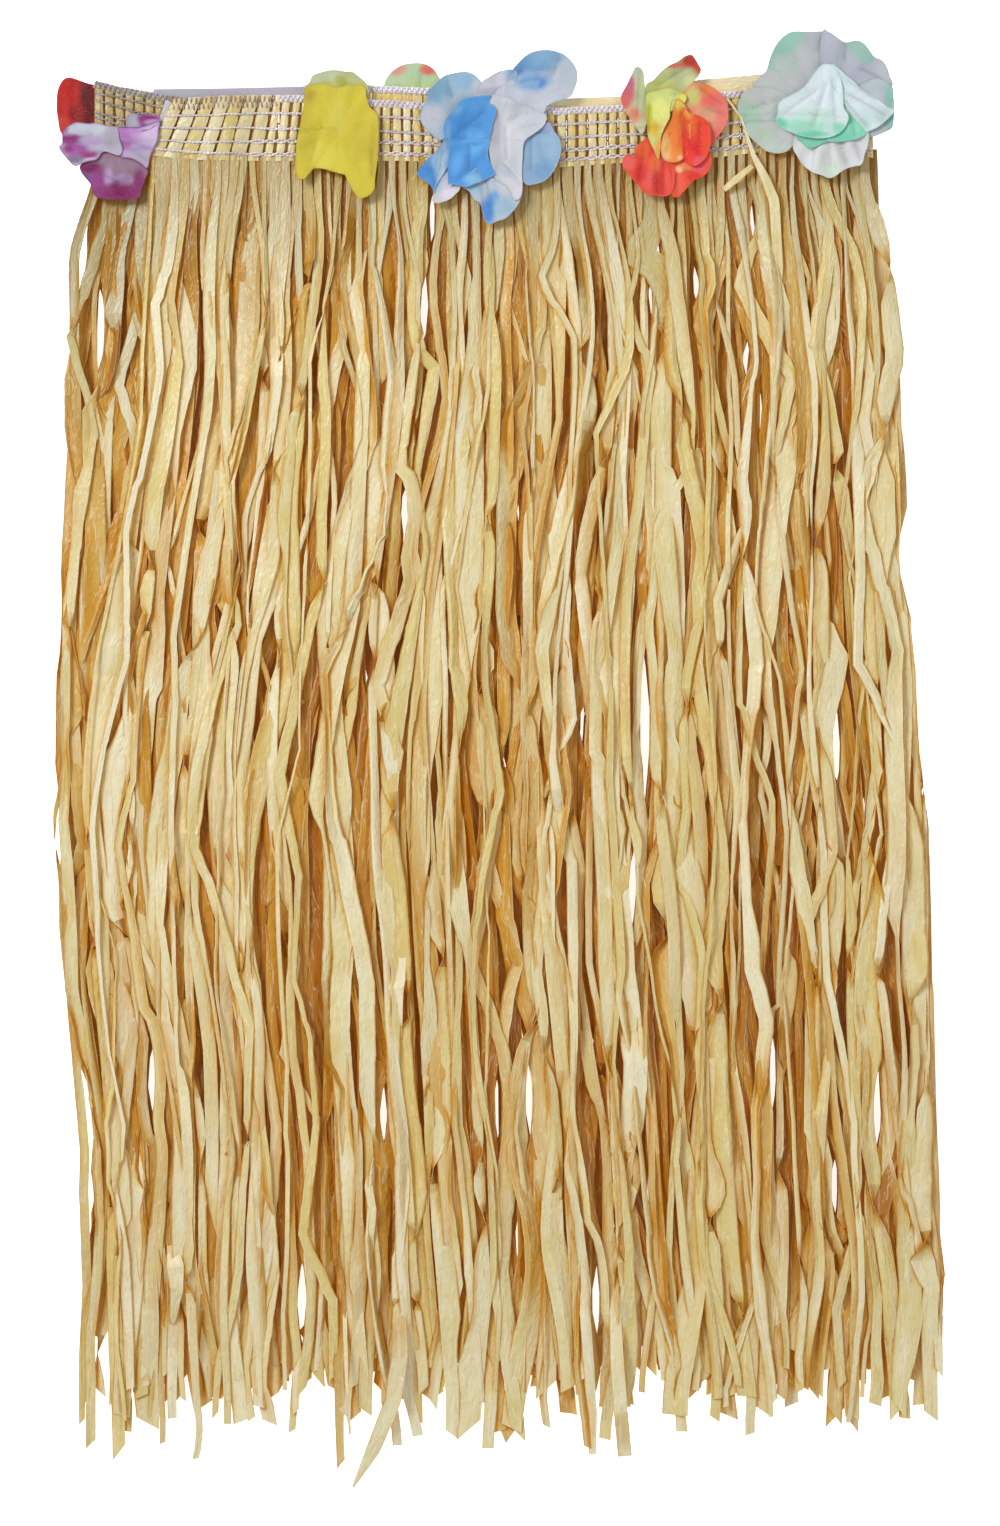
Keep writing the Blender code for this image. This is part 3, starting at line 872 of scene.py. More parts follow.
# %% One layer
def fringe_layer(rng, layer):
    """The layer's piece, and its flat width and length in metres."""
    count = layer.ribbons
    place = hang(rng, layer)
    cut, opened, breadth, turned = open_width(rng, layer, place)
    x = stray(rng, layer, place, cut, opened, breadth)
    roll, bends = folding(rng, layer, place, turned)
    z, rank = heap(rng, layer, place)
    grid, normals = carry(x, place.y, z, breadth, roll, bends)
    slant = np.clip(rng.normal(0, SLANT, count), -1.3, 1.3)[:, None] * np.linspace(-1, 1, layer.across)[None]
    grid[:, -1, :, 1] += slant * breadth[:, -1:] / 2
    tone = np.clip(rng.normal(*TONE, count), 0, 1)
    tint = painted_layer_shade(rng, layer, place, x, normals, rank)
    shadow = band_shadow(rng, layer, place.drop)
    piece = ribbon_piece("fringe_" + layer.name, grid, normals, tone, tint, layer.underside, shadow)
    return dress(piece, raffia), flat_size(grid, breadth)


# %% Lay the layers
WIDE_TO = 66.0           # the wide heads at the left of the front run end here
TIPS = [
    # x, y of the longest ends of the top layer
    (-246, -414), (-234, -423), (-190, -402), (-93, -398), (-14, -412), (10, -409), (22, -412),
    (37, -408), (64, -424), (120, -400), (167, -401), (208, -402), (262, -396),
]
MIDDLE_TIPS = [(-229, -412), (-97, -410), (-60, -400), (16, -410), (71, -420), (199, -400)]
LAP_HEADS = np.arange(2.0, 60.0, 2.7)
WHOLE = (edges, edges)                   # side edges of the whole fringe
FRONT_PART = (front_edges, edges)        # and of what hangs from the front run
# Painted shadow under the band: how dark just under it, how dark below, and how far down it reaches.
UNDER_BAND = (0.9, 0.0, 130.0)
HIDDEN = {"stations": HIDDEN_STATIONS, "across": 4}
LAYERS = [
    # name, run and its height, side edges, level, ribbons, cut, hem, painted shade, dusk
    Layer("back_under", *BACK, WHOLE, (1.4, 2.8), 66, (15.5, 1.5), (-364.0, 13.0), 0.6, UNDER_BAND, **HIDDEN,
          neck=0.62, underside=0.1),
    Layer("back_over", *BACK, WHOLE, (3.6, 6.5), 66, (15.5, 1.5), (-358.0, 15.0), 1.05, UNDER_BAND, **HIDDEN,
          neck=0.62, rise=0.6),
    Layer("front_under", *FRONT, FRONT_PART, (8.0, 9.4), 72, (14.0, 2.0), (-366.0, 14.0), 0.95, UNDER_BAND,
          **HIDDEN, neck=0.42, rise=-0.4),
    Layer("front_middle", *FRONT, FRONT_PART, (10.0, 12.0), 70, (10.8, 2.6), (-375.0, 15.0), 0.68,
          (0.76, 0.0, 130.0), across=5, tips=MIDDLE_TIPS, neck=0.32, rise=0.3, wide_to=WIDE_TO),
    Layer("front_over", *FRONT, FRONT_PART, (12.6, 15.4), 60, (12.6, 3.4), (-386.0, 12.0), 0.03,
          (0.56, 0.0, 130.0), tips=TIPS, neck=0.34, rise=0.8, wide_to=WIDE_TO),
    Layer("front_fine", *FRONT, FRONT_PART, (14.6, 17.2), 48, (8.0, 2.6), (-386.0, 10.0), 0.06,
          (0.50, 0.0, 130.0), across=4, rise=1.3),
    Layer("lap", *ON_LAP, WHOLE, (9.0, 13.0), len(LAP_HEADS), (9.5, 2.5), (-386.0, 12.0), 0.40,
          (0.9, 0.12, 210.0), heads=LAP_HEADS, neck=0.45, rise=0.8, sorting=0.8, under_band_shade=0.5),
]
rng = np.random.default_rng(20)
sheets = {layer.name: fringe_layer(rng, layer) for layer in LAYERS}

# %% Strays: ribbons that leave the rest, and so are laid one by one
STRAYS = [
    # x, y, z and width of each point down a ribbon
    [(-61, -300, 8, 5), (-60, -362, 17.6, 10), (-64, -390, 17.4, 10), (-76, -420, 13, 9),
     (-88.6, -444, 8, 1.5)],
    [(70, -300, 8, 5), (72.7, -370, 17.8, 8.5), (75, -398, 17, 8.5), (77.6, -425, 9, 8.5)],
    [(-94, -330, 9, 3), (-92.3, -382, 17.6, 2), (-91, -398, 17, 1.6), (-90.4, -411, 12, 1.4)],
    [(139.9, 405, 11.0, 1.4), (148.5, 393, 11.4, 1.4), (152, 382, 11.8, 1.8), (156, 370, 12.0, 3),
     (163, 356, 12.4, 5.5), (168.6, 342, 12.8, 6.5), (171, 300, 13.4, 6), (168, 262, 13.0, 4)],
    [(137.9, 349, 12.0, 3.4), (146, 355.6, 12.6, 4.4), (155.2, 363.5, 11.8, 3)],
    [(-12, 250, 9.0, 3), (-14, 236, 17.4, 5), (-11.5, 222, 17.8, 4), (-13, 208, 17.2, 5), (-11, 186, 9.0, 3)],
    [(-77, -240, 9.0, 3), (-79, -260, 17.4, 5), (-76.5, -274, 17.8, 5), (-78, -288, 17.2, 5),
     (-78, -312, 9.0, 3)],
    [(226, 296, 8, 4), (221, 262, 15.4, 7), (227, 236, 16, 6), (223, 208, 15.6, 7), (229, 176, 15, 6),
     (224, 134, 8, 4)],
    [(-200, -288, 10.0, 4), (-197, -308, 17.6, 11), (-196, -322, 17.5, 8), (-199, -344, 10.0, 3)],
]
STRAY_STATIONS = 48


def stray_piece(name, rng, routes):
    """Ribbons laid one by one: their points joined by straight runs, and bent a little along their length."""
    steps = np.linspace(0, 1, STRAY_STATIONS)
    laid = [[np.interp(steps, np.linspace(0, 1, len(route)), column) for column in np.array(route, float).T]
            for route in routes]
    x, y, z, breadth = np.moveaxis(np.array(laid), 1, 0)
    count = len(routes)
    roll = creased(rng, count, STRAY_STATIONS, 9, 0.12)
    bends = creased(rng, count * (ACROSS - 1), STRAY_STATIONS, 9, 0.09)
    bends = bends.reshape(count, ACROSS - 1, STRAY_STATIONS).swapaxes(1, 2)
    grid, normals = carry(x, y, z, breadth, roll, bends)
    shade = np.clip(creased(rng, count, STRAY_STATIONS, 10, 0.14), 0, 0.4)
    piece = ribbon_piece(name, grid, normals, rng.uniform(0.45, 0.85, count), shade)
    return dress(piece, raffia), flat_size(grid, breadth)


sheets["strays"] = stray_piece("fringe_strays", np.random.default_rng(4), STRAYS)

for name, (piece, flat) in sheets.items():
    print(name, "flat", [round(side, 3) for side in flat], "m")
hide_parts(*[f"fringe_front_{i:02d}" for i in range(1, 17)])
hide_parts(*[f"fringe_back_{i:02d}" for i in range(1, 17)])
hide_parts("fringe_lap_01", "fringe_lap_02")

# %% [markdown]
# ## The netted waistband
# Each head is a ribbon folded over the heading and pressed flat, a few millimetres from the next.
# Rows of pale yarn net the heads together, and a thick crocheted chain binds the top edge. On a
# loom this is one pass of knitting. Here a head is a puffed strip that is pinched under every row,
# and a thread is a thin tube carried along a path that weaves over the heads and dips between them.

# %% Yarn
TWIST = (150.0, 260.0, 1.0)      # turns to the metre, round and along the thread


def colour(red, green, blue):
    """Linear colour from the 0-255 numbers of a colour chart."""
    chart = np.array([red, green, blue]) / 255.0
    linear = np.where(chart <= 0.04045, chart / 12.92, ((chart + 0.055) / 1.055) ** 2.4)
    return tuple(float(share) for share in linear)


def yarn_material(name, dark, pale, groove_shade):
    """Matt two-ply yarn: a fine slanting twist along the thread, painted shade in its grooves, fluff and
    small shifts of tone.
    """
    material, tree, shader = new_material(name)
    ply = tree.nodes.new("ShaderNodeTexWave")
    ply.bands_direction = "DIAGONAL"
    finish(ply, {"Scale": 1.0, "Distortion": 1.2})
    tree.links.new(stretched(tree, strip_place(tree), TWIST), ply.inputs["Vector"])
    place = tree.nodes.new("ShaderNodeTexCoord").outputs["Object"]
    fluff = noise(tree, place, 1400.0, 3.0)
    blotch = noise(tree, place, 60.0, 2.0)
    base = mixed(tree, spread(tree, blotch, 0.35, 0.65), colour(*dark), colour(*pale))
    # Painted shade in the grooves of the twist.
    base = mixed(tree, spread(tree, ply.outputs["Fac"], 0.2, 0.9, 0.0, 0.28), base, colour(*groove_shade))
    feed(tree, shader.inputs["Base Color"], base)
    finish(shader, {"Roughness": 0.85, "Specular IOR Level": 0.2, "Sheen Weight": 0.25})
    height = maths(tree, "ADD", ply.outputs["Fac"], maths(tree, "MULTIPLY", fluff, 0.8))
    bumped(tree, shader, height, 0.6, 0.0004)
    return material


yarn = yarn_material("yarn", (214, 204, 212), (240, 235, 239), (166, 152, 160))
row_yarn = yarn_material("yarn_rows", (196, 187, 190), (234, 226, 230), (144, 128, 132))
shaded_yarn = yarn_material("yarn_shaded", (138, 128, 124), (190, 181, 176), (96, 84, 76))
worn_yarn = yarn_material("yarn_worn", (150, 124, 106), (192, 172, 162), (112, 86, 70))
print("yarns", yarn.name, row_yarn.name, shaded_yarn.name, worn_yarn.name)

# %% Heads of the band
FRONT_ROWS = (0.69, 0.46, 0.25, 0.07)            # where the rows of yarn are, of the band's height
LAP_ROWS = (0.78, 0.58, 0.33, 0.22, 0.08)
HEAD_WIDTH = 4.9
HEAD_WALL = 1.15
HEAD_STATIONS, HEAD_ACROSS = 22, 5
HEAD_FOOT, HEAD_TOP = -0.05, 0.99                # a head's ends, of the band's height
PUFF_FOOT, PUFF_TOP = -0.12, 0.97                # the lowest and the highest puff end here
PUFF, CROWN = 0.45, 0.35
WIDE_PITCH = 9.4         # at the left end of the front run the heads are spread and wide
WIDE_GAP = 0.9
WIDE_DUSK = 0.2          # the wide heads at the left end of the band are darker by this much


def heads_passed(along, wide_to):
    """How many heads lie before a place on a run: wide ones up to `wide_to`, and then the others."""
    wide = int(wide_to / WIDE_PITCH)
    end = wide * WIDE_PITCH
    return np.where(along < end, along / WIDE_PITCH, wide + (along - end) / HEAD_PITCH)


def head_faces(rng, run, run_z, rows, facing, heads, pitch, gap):
    """The heads' upper and lower points.

    The face's height is the wall, plus a puff that is a sine between neighbouring rows, plus a low
    crown across the strip. facing is 1 for a face that looks up and -1 for one that looks down."""
    count = len(heads)
    rise = np.linspace(HEAD_FOOT, HEAD_TOP, HEAD_STATIONS)[None].repeat(count, 0)
    lines = np.array([PUFF_FOOT, *sorted(rows), PUFF_TOP])
    slot_of = np.clip(np.searchsorted(lines, rise) - 1, 0, len(lines) - 2)
    within = (rise - lines[slot_of]) / (lines[slot_of + 1] - lines[slot_of])
    puff = np.sin(np.pi * np.clip(within, 0, 1)) ** 0.7
    lean = creased(rng, count, HEAD_STATIONS, 8, 0.25)
    breadth = (pitch - gap) * (1 - 0.1 * gap * (1 - puff)) * (1 + 0.04 * gap * rng.normal(0, 1, (count, 1)))
    u = np.linspace(-1, 1, HEAD_ACROSS)
    along = heads[:, None, None] + lean[..., None] + breadth[..., None] / 2 * u
    x, y = run_place(run, along, rise[..., None])
    level = run_z(x)
    crown = CROWN * (1 - u ** 2) + PUFF * puff[..., None] * (1 - 0.5 * u ** 2)
    crown = crown + rng.normal(0, 0.1, (count, HEAD_STATIONS, HEAD_ACROSS))
    top = np.stack([x, y, level + facing * (HEAD_WALL - 0.4 + crown)], -1)
    bottom = np.stack([x, y, level - facing * HEAD_WALL * 0.9], -1)
    uv_x = (u * 0.5 + 0.5) * HEAD_WIDTH + heads[:, None, None] * 3.0
    uv = np.stack(np.broadcast_arrays(uv_x, rise[..., None] * BAND_HEIGHT), -1)
    return round_the_ring(top, bottom), round_the_ring(uv)


def band_heads(name, rng, run, run_z, rows, facing, depth, gap=1.4, wide_to=0.0, dusk=0.0):
    """Heads side by side along a run, the first ones wide and close together up to `wide_to`."""
    wide = int(wide_to / WIDE_PITCH)
    extra = wide * (WIDE_PITCH - HEAD_PITCH)
    heads = np.arange(HEAD_PITCH / 2, run_length(run) - extra, HEAD_PITCH)
    count = len(heads)
    is_wide = (np.arange(count) < wide)[:, None]
    heads = np.where(is_wide[:, 0], (np.arange(count) + 0.5) * WIDE_PITCH, heads + extra)
    ring, uv = head_faces(rng, run, run_z, rows, facing, heads, np.where(is_wide, WIDE_PITCH, HEAD_PITCH),
                          np.where(is_wide, WIDE_GAP, gap))
    tone = np.clip(rng.normal(0.35, 0.3, count), 0, 1)
    values = strip_values(tone, np.full((count, HEAD_STATIONS), depth), HEAD_ACROSS, 0.14)
    each = HEAD_STATIONS * 2 * HEAD_ACROSS
    values["dusk"] = np.broadcast_to(np.where(is_wide, dusk + WIDE_DUSK, dusk), (count, each))
    piece = mesh_from_grids(name, ring.reshape(count, each, 3), shell_faces(HEAD_STATIONS, 2 * HEAD_ACROSS),
                            uv.reshape(count, each, 2), values, 40)
    return dress(piece, pressed_raffia)


# Painted shade: the back run's heads carry 1.6, which reaches the deep brown, and the lap's heads lie in
# painted shadow.
front_band = band_heads("band_heads_front", rng, *FRONT, FRONT_ROWS, 1, 0.04, 1.7, WIDE_TO, 0.04)
back_band = band_heads("band_heads_back", rng, *BACK, FRONT_ROWS, -1, 1.6, 0.05)
lap_band = band_heads("band_heads_lap", rng, *ON_LAP, LAP_ROWS, 1, 0.2, dusk=0.55)
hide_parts("waistband")

# %% Threads
THREAD_SIDES = 6


def thread_rings(paths, radius):
    """Rings of points round each path: a circle across it, level with the floor at its sides."""
    run = np.gradient(paths, axis=1)
    run /= np.linalg.norm(run, axis=-1, keepdims=True)
    side = np.cross(run, np.array([0.0, 0.0, 1.0]))
    side /= np.linalg.norm(side, axis=-1, keepdims=True) + 1e-9
    up = np.cross(side, run)
    turn = np.linspace(0, 2 * np.pi, THREAD_SIDES, endpoint=False)
    return (paths[:, :, None] + radius * np.cos(turn)[None, None, :, None] * side[:, :, None]
            + radius * np.sin(turn)[None, None, :, None] * up[:, :, None])


def thread_piece(name, paths, radius, thread):
    """Joined mesh of threads along `paths` (threads, stations, 3), in millimetres."""
    count, stations, _ = paths.shape
    around = np.abs(np.linspace(-1, 1, THREAD_SIDES, endpoint=False)) * radius * 3
    uv = np.stack(np.broadcast_arrays(around[None, None], lengths_along(paths)[..., None]), -1)
    each = stations * THREAD_SIDES
    piece = mesh_from_grids(name, thread_rings(paths, radius).reshape(count, each, 3),
                            shell_faces(stations, THREAD_SIDES), uv.reshape(count, each, 2), {}, 80)
    return dress(piece, thread)


def netting(name, rng, run, run_z, rows, facing, sways, step, radius, wide_to=0.0, thread=row_yarn):
    """Rows of netting: each row is a pair of threads that cross in the gaps and ride over the heads.

    Sideways from the row: plus or minus the row's sway times the sine of half a turn per head.
    Height: the heads' face, less a dip at each gap."""
    length = run_length(run)
    along = np.arange(0.4, length - 0.4, step)
    passed = heads_passed(along, wide_to)
    phase = np.pi * passed
    dip = np.exp(-(((passed + 0.5) % 1 - 0.5) * HEAD_PITCH / 1.0) ** 2)
    spread_out = 0.3 + 0.7 * ramp(along, wide_to - 12, wide_to) if wide_to else 1.0
    paths = []
    for row, sway in zip(rows, sways):
        wander = rolling(rng, 1, along[None] / length, 0.5, 5.0)[0] + creased(rng, 1, len(along), 8, 0.16)[0]
        for strand in (-1, 1):
            x, y = run_place(run, along, row)
            y = y + wander + strand * sway * spread_out * np.sin(phase)
            y = y + creased(rng, 1, len(along), 5, 0.08)[0]
            rise = HEAD_WALL + 0.42 + strand * 0.3 * np.cos(phase) - 0.45 * dip
            paths.append(np.stack([x, y, run_z(x) + facing * rise], -1))
    return thread_piece(name, np.array(paths), radius, thread)


FRONT_SWAYS = (0.5, 0.5, 1.15, 1.15)      # the two lower rows open into a lattice
LAP_SWAYS = (0.5, 0.5, 0.6, 0.5, 0.5)
netting("yarn_rows_front", rng, *FRONT, FRONT_ROWS, 1, FRONT_SWAYS, 0.95, 0.56, WIDE_TO)
netting("yarn_rows_back", rng, *BACK, FRONT_ROWS, -1, FRONT_SWAYS, 1.6, 0.45)
netting("yarn_rows_lap", rng, *ON_LAP, LAP_ROWS, 1, LAP_SWAYS, 0.95, 0.5, thread=shaded_yarn)

# %% Chain along the top edge
CHAIN_LOOP = 9.4         # length of one loop of the crochet
CHAIN_STEP = 0.75
WORN_TO = 70.0           # at the left end the chain is crushed flat and has taken up the raffia's colour
BARE_FROM = 250.0        # from here rightwards the back run's chain has turned to its outer side


def top_chain(name, rng, run, run_z, facing, rise=0.95, start=0.0, stop=None, step=CHAIN_STEP, radius=0.95,
              lift=1.1, sway=1.6, thread=yarn):
    """Crocheted chain: three strands, each a flat figure of eight, a third of a turn apart."""
    length = run_length(run) if stop is None else stop
    along = np.arange(start + 0.5, length - 0.5, step)
    turn = 2 * np.pi * along / CHAIN_LOOP
    wander = creased(rng, 1, len(along), 10, 0.25)[0]
    paths = []
    for strand in range(3):
        angle = turn + strand * 2 * np.pi / 3
        x, y = run_place(run, along, rise)
        y = y + sway * np.sin(angle) + wander
        height = lift + 0.75 * np.sin(2 * angle)
        paths.append(np.stack([x + 0.8 * np.cos(2 * angle), y, run_z(x) + facing * height], -1))
    return thread_piece(name, np.array(paths), radius, thread)


top_chain("yarn_chain_front_left", rng, *FRONT, 1, 0.88, 0.0, WORN_TO,
          radius=0.5, lift=1.0, sway=3.4, thread=worn_yarn)
top_chain("yarn_chain_front", rng, *FRONT, 1, 0.93, WORN_TO)
top_chain("yarn_chain_lap", rng, *ON_LAP, 1, thread=shaded_yarn)
top_chain("yarn_chain_back_left", rng, *BACK, 1, 0.97, 128.0, BARE_FROM)
top_chain("yarn_chain_back_right", rng, *BACK, -1, 0.94, BARE_FROM, step=1.1)

# %% Heading of the back run
HEADING_STATIONS, HEADING_ACROSS = 160, 5


def heading_strip():
    """Flat folded heading on the inner face of the back run, which shows over the front run's top edge."""
    along = np.linspace(BARE_FROM, run_length(BACK_RUN) - 3, HEADING_STATIONS)
    rise = np.linspace(0.62, 1.0, HEADING_ACROSS)
    x, y = run_place(BACK_RUN, along[:, None], rise[None])
    z = BACK_Z + HEAD_WALL + 0.25 + 0.12 * np.sin(along / 5.0)[:, None] * np.ones(HEADING_ACROSS)
    grid = np.stack([x, y, z], -1)[None]
    normals = np.zeros_like(grid)
    normals[..., 2] = 1.0
    piece = ribbon_piece("band_heading", grid, normals, np.array([0.85]), np.zeros((1, HEADING_STATIONS)))
    return dress(piece, pressed_raffia)


heading = heading_strip()

# %% [markdown]
# ## The closure
# A woven tape closes the band at the left: it comes out from under the front run's end and is
# sewn to the lap. A soft strip of smooth binding covers the top edge beside it. Both are narrow
# flat sheets between two edges, so they are grids with a woven finish.

# %% Tape and binding
TAPE_STATIONS = 40


def tape_material(name, pale, dark, weave):
    """Woven tape: threads over and under, as two waves at right angles on the tape's own UV map."""
    material, tree, shader = new_material(name)
    place = strip_place(tree)
    waves = []
    for direction in ("X", "Y"):
        wave = tree.nodes.new("ShaderNodeTexWave")
        wave.bands_direction = direction
        finish(wave, {"Scale": weave, "Distortion": 0.4})
        tree.links.new(place, wave.inputs["Vector"])
        waves.append(wave.outputs["Fac"])
    cross = maths(tree, "MULTIPLY", *waves)
    blotch = noise(tree, place, 160.0, 3.0)
    base = mixed(tree, spread(tree, cross, 0.0, 0.6), colour(*dark), colour(*pale))
    base = mixed(tree, spread(tree, blotch, 0.4, 0.7, 0.0, 0.3), base, colour(*dark))
    feed(tree, shader.inputs["Base Color"], base)
    finish(shader, {"Roughness": 0.6, "Sheen Weight": 0.3})
    bumped(tree, shader, cross, 0.5, 0.0003)
    return material


def tape_piece(name, route, width, wave, material):
    """Flat tape: width / 2 to each side of a straight route, with a slow wave in its height."""
    t = np.linspace(0, 1, TAPE_STATIONS)
    x, y, z = (np.interp(t, np.linspace(0, 1, len(route)), column) for column in np.array(route, float).T)
    z = z + wave * np.sin(9 * t)
    level, unbent = np.zeros((1, TAPE_STATIONS)), np.zeros((1, TAPE_STATIONS, ACROSS - 1))
    grid, normals = carry(x[None], y[None], z[None], level + width, level, unbent)
    piece = dress(ribbon_piece(name, grid, normals, np.array([0.5]), level), material)
    return piece


tape = tape_material("tape", (224, 221, 233), (186, 184, 200), 900.0)
binding = tape_material("binding", (196, 192, 206), (170, 166, 182), 1500.0)
TAPE_ROUTE = [(-199.5, 403, 8.95), (-203, 392, 8.95), (-207, 379, 8.95)]
BINDING_ROUTE = [(-211, 407.6, 4.9), (-165, 408.2, 4.9), (-119, 409.2, 4.9)]
closure = tape_piece("closure_tape", TAPE_ROUTE, 8.0, 0.05, tape)
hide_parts("closure_tab")
tape_piece("band_binding", BINDING_ROUTE, 7.4, 0.1, binding)

# %% [markdown]
# ## Cloth flowers
# The flowers are die-cut from thin stiffened cloth, dyed with an airbrush while they lie in a
# stack, then folded and stitched through the middle. Pressed flat on the band, each petal shows
# as one patch with its own outline. So a petal is drawn by the few corners of its outline, joined
# by a smooth curve, and filled with rings that shrink to its middle. Pleats fan out from the
# stitch, soft folds cross them, and a crease is a crisp valley along a line.

# %% Petal outline
class Petal(NamedTuple):
    """One petal, in millimetres from its flower's middle: a corner given twice in the outline is sharp."""
    outline: list
    level: float
    ground: tuple
    washes: list = []
    rim: tuple = ((150, 150, 160), 0.8, 0.3)
    crumple: float = 0.5
    creases: list = []


def outline_curve(corners, count):
    """`count` points evenly spaced round a closed curve through the corners.

    Between two corners it is the cubic whose slope at each corner is half the step between its neighbours."""
    corner = np.array(corners, float)[:, None]
    before, after, beyond = (np.roll(corner, shift, 0) for shift in (1, -1, -2))
    t = np.linspace(0, 1, 24, endpoint=False)[None, :, None]
    curve = corner + 0.5 * t * (after - before + t * (2 * before - 5 * corner + 4 * after - beyond
                                + t * (3 * (corner - after) + beyond - before)))
    curve = curve.reshape(-1, 2)
    closed = np.concatenate([curve, curve[:1]])
    place = lengths_along(closed[None])[0]
    even = np.linspace(0, place[-1], count, endpoint=False)
    return np.stack([np.interp(even, place, closed[:, i]) for i in range(2)], -1)


# %% Petal surface
PETAL_RINGS = 14         # rings from a petal's middle to its edge, on each face
PETAL_ROUND = 60         # points round a ring
PETAL_CLOTH = 0.2        # wall, in millimetres
CREASE_REACH = 3.2       # a crease's valley is this wide to each side
CREASE_DEEP = 0.75
OFF_BAND = (16, 44)      # between these distances below its flower's middle a petal leaves the band
OFF_BAND_RISE = 3.2      # and rises onto the fringe
PLEAT, CURL = 0.55, 0.7  # pleats and the curled edge, for a crumple of 1
FOLD_LENGTH = 15.0


def folds(rng, x, y, count, size, length):
    """Sum of `count` triangle waves across the plane, `length` long and up to `size` high, crisply ridged."""
    height = np.zeros_like(x)
    for _ in range(count):
        way = rng.uniform(0, np.pi)
        wave = length * rng.uniform(0.6, 1.6)
        place = (x * np.cos(way) + y * np.sin(way)) / wave + rng.random()
        height += size * rng.uniform(0.4, 1.0) * (2 * np.abs(place % 1 - 0.5) - 0.5)
    return height


def line_distance(x, y, line):
    """Distance of each point from the stretch between a line's two ends."""
    (start_x, start_y), (end_x, end_y) = line
    run_x, run_y = end_x - start_x, end_y - start_y
    share = np.clip(((x - start_x) * run_x + (y - start_y) * run_y) / (run_x ** 2 + run_y ** 2), 0, 1)
    return np.hypot(x - start_x - share * run_x, y - start_y - share * run_y)


def petal_sheet(rng, petal):
    """Rings of x, y and height (rings, round), each ring's share of the outline, and the flat area.

    Height: the petal's level, a rise where it leaves the band for the fringe, a curled edge, pleats
    that fan out from the flower's middle, folds, and a valley along each crease."""
    edge = outline_curve(petal.outline, PETAL_ROUND)
    middle = edge.mean(0)
    step = np.linspace(0.04, 1, PETAL_RINGS)
    share = (0.6 * step + 0.4 * np.sin(np.pi / 2 * step))[:, None]
    x = middle[0] + (edge[None, :, 0] - middle[0]) * share
    y = middle[1] + (edge[None, :, 1] - middle[1]) * share
    away = np.hypot(x, y)
    pleats = np.sin(np.arctan2(y, x) * rng.integers(9, 16) + rng.uniform(0, 6)) * np.clip(away / 26, 0, 1)
    z = petal.level + OFF_BAND_RISE * ramp(-y, *OFF_BAND)
    z = z + petal.crumple * (PLEAT * pleats + CURL * share ** 6)
    z = z + folds(rng, x, y, 3, petal.crumple * 0.7, FOLD_LENGTH)
    for line in petal.creases:
        z = z - CREASE_DEEP * (1 - np.clip(line_distance(x, y, line) / CREASE_REACH, 0, 1))
    after = np.roll(edge, -1, 0)
    area = abs((edge[:, 0] * after[:, 1] - edge[:, 1] * after[:, 0]).sum()) / 2
    return x, y, z, share, area


# %% Petal dye
CREASE_DYE_AND_SHADE = 0.22       # a crease is darker: dye pools there, and painted shade
SPREAD_FROM, SPREAD_TO = 0.45, 1.35     # a wash fades between these shares of its reach


def petal_dye(rng, petal, x, y, share):
    """Colour at each point: the ground, soft oval washes over it, creases darkened by pooled dye and painted
    shade, and the rim's colour: dye at the edge and, where dark, a painted shadow line.
    """
    tint = np.broadcast_to(np.array(colour(*petal.ground)), x.shape + (3,)).copy()
    drift = folds(rng, x, y, 4, 0.13, 9.0)
    for wash_x, wash_y, reach_x, reach_y, wash in petal.washes:
        place = np.hypot((x - wash_x) / reach_x, (y - wash_y) / reach_y) + drift
        weight = 1 - ramp(place, SPREAD_FROM, SPREAD_TO)[..., None]
        tint = tint * (1 - weight) + np.array(colour(*wash)) * weight
    for line in petal.creases:
        tint = tint * (1 - CREASE_DYE_AND_SHADE * np.exp(-(line_distance(x, y, line) / 0.9) ** 2)[..., None])
    rim, width, strength = petal.rim
    inwards = (1 - share) * np.hypot(x[-1] - x[0], y[-1] - y[0])[None]
    weight = (strength * (1 - ramp(inwards, 0.3 * width, 1.4 * width)))[..., None]
    return tint * (1 - weight) + np.array(colour(*rim)) * weight


# %% Petal cloth
PETAL_GLOW = 0.02        # painted glow, for daylight that the thin cloth lets through from the pale floor
UNDYED = (0.82, 0.83, 0.87)
GREY_SHADE = (0.10, 0.09, 0.11)
VEINS = (420.0, 70.0, 1.0)


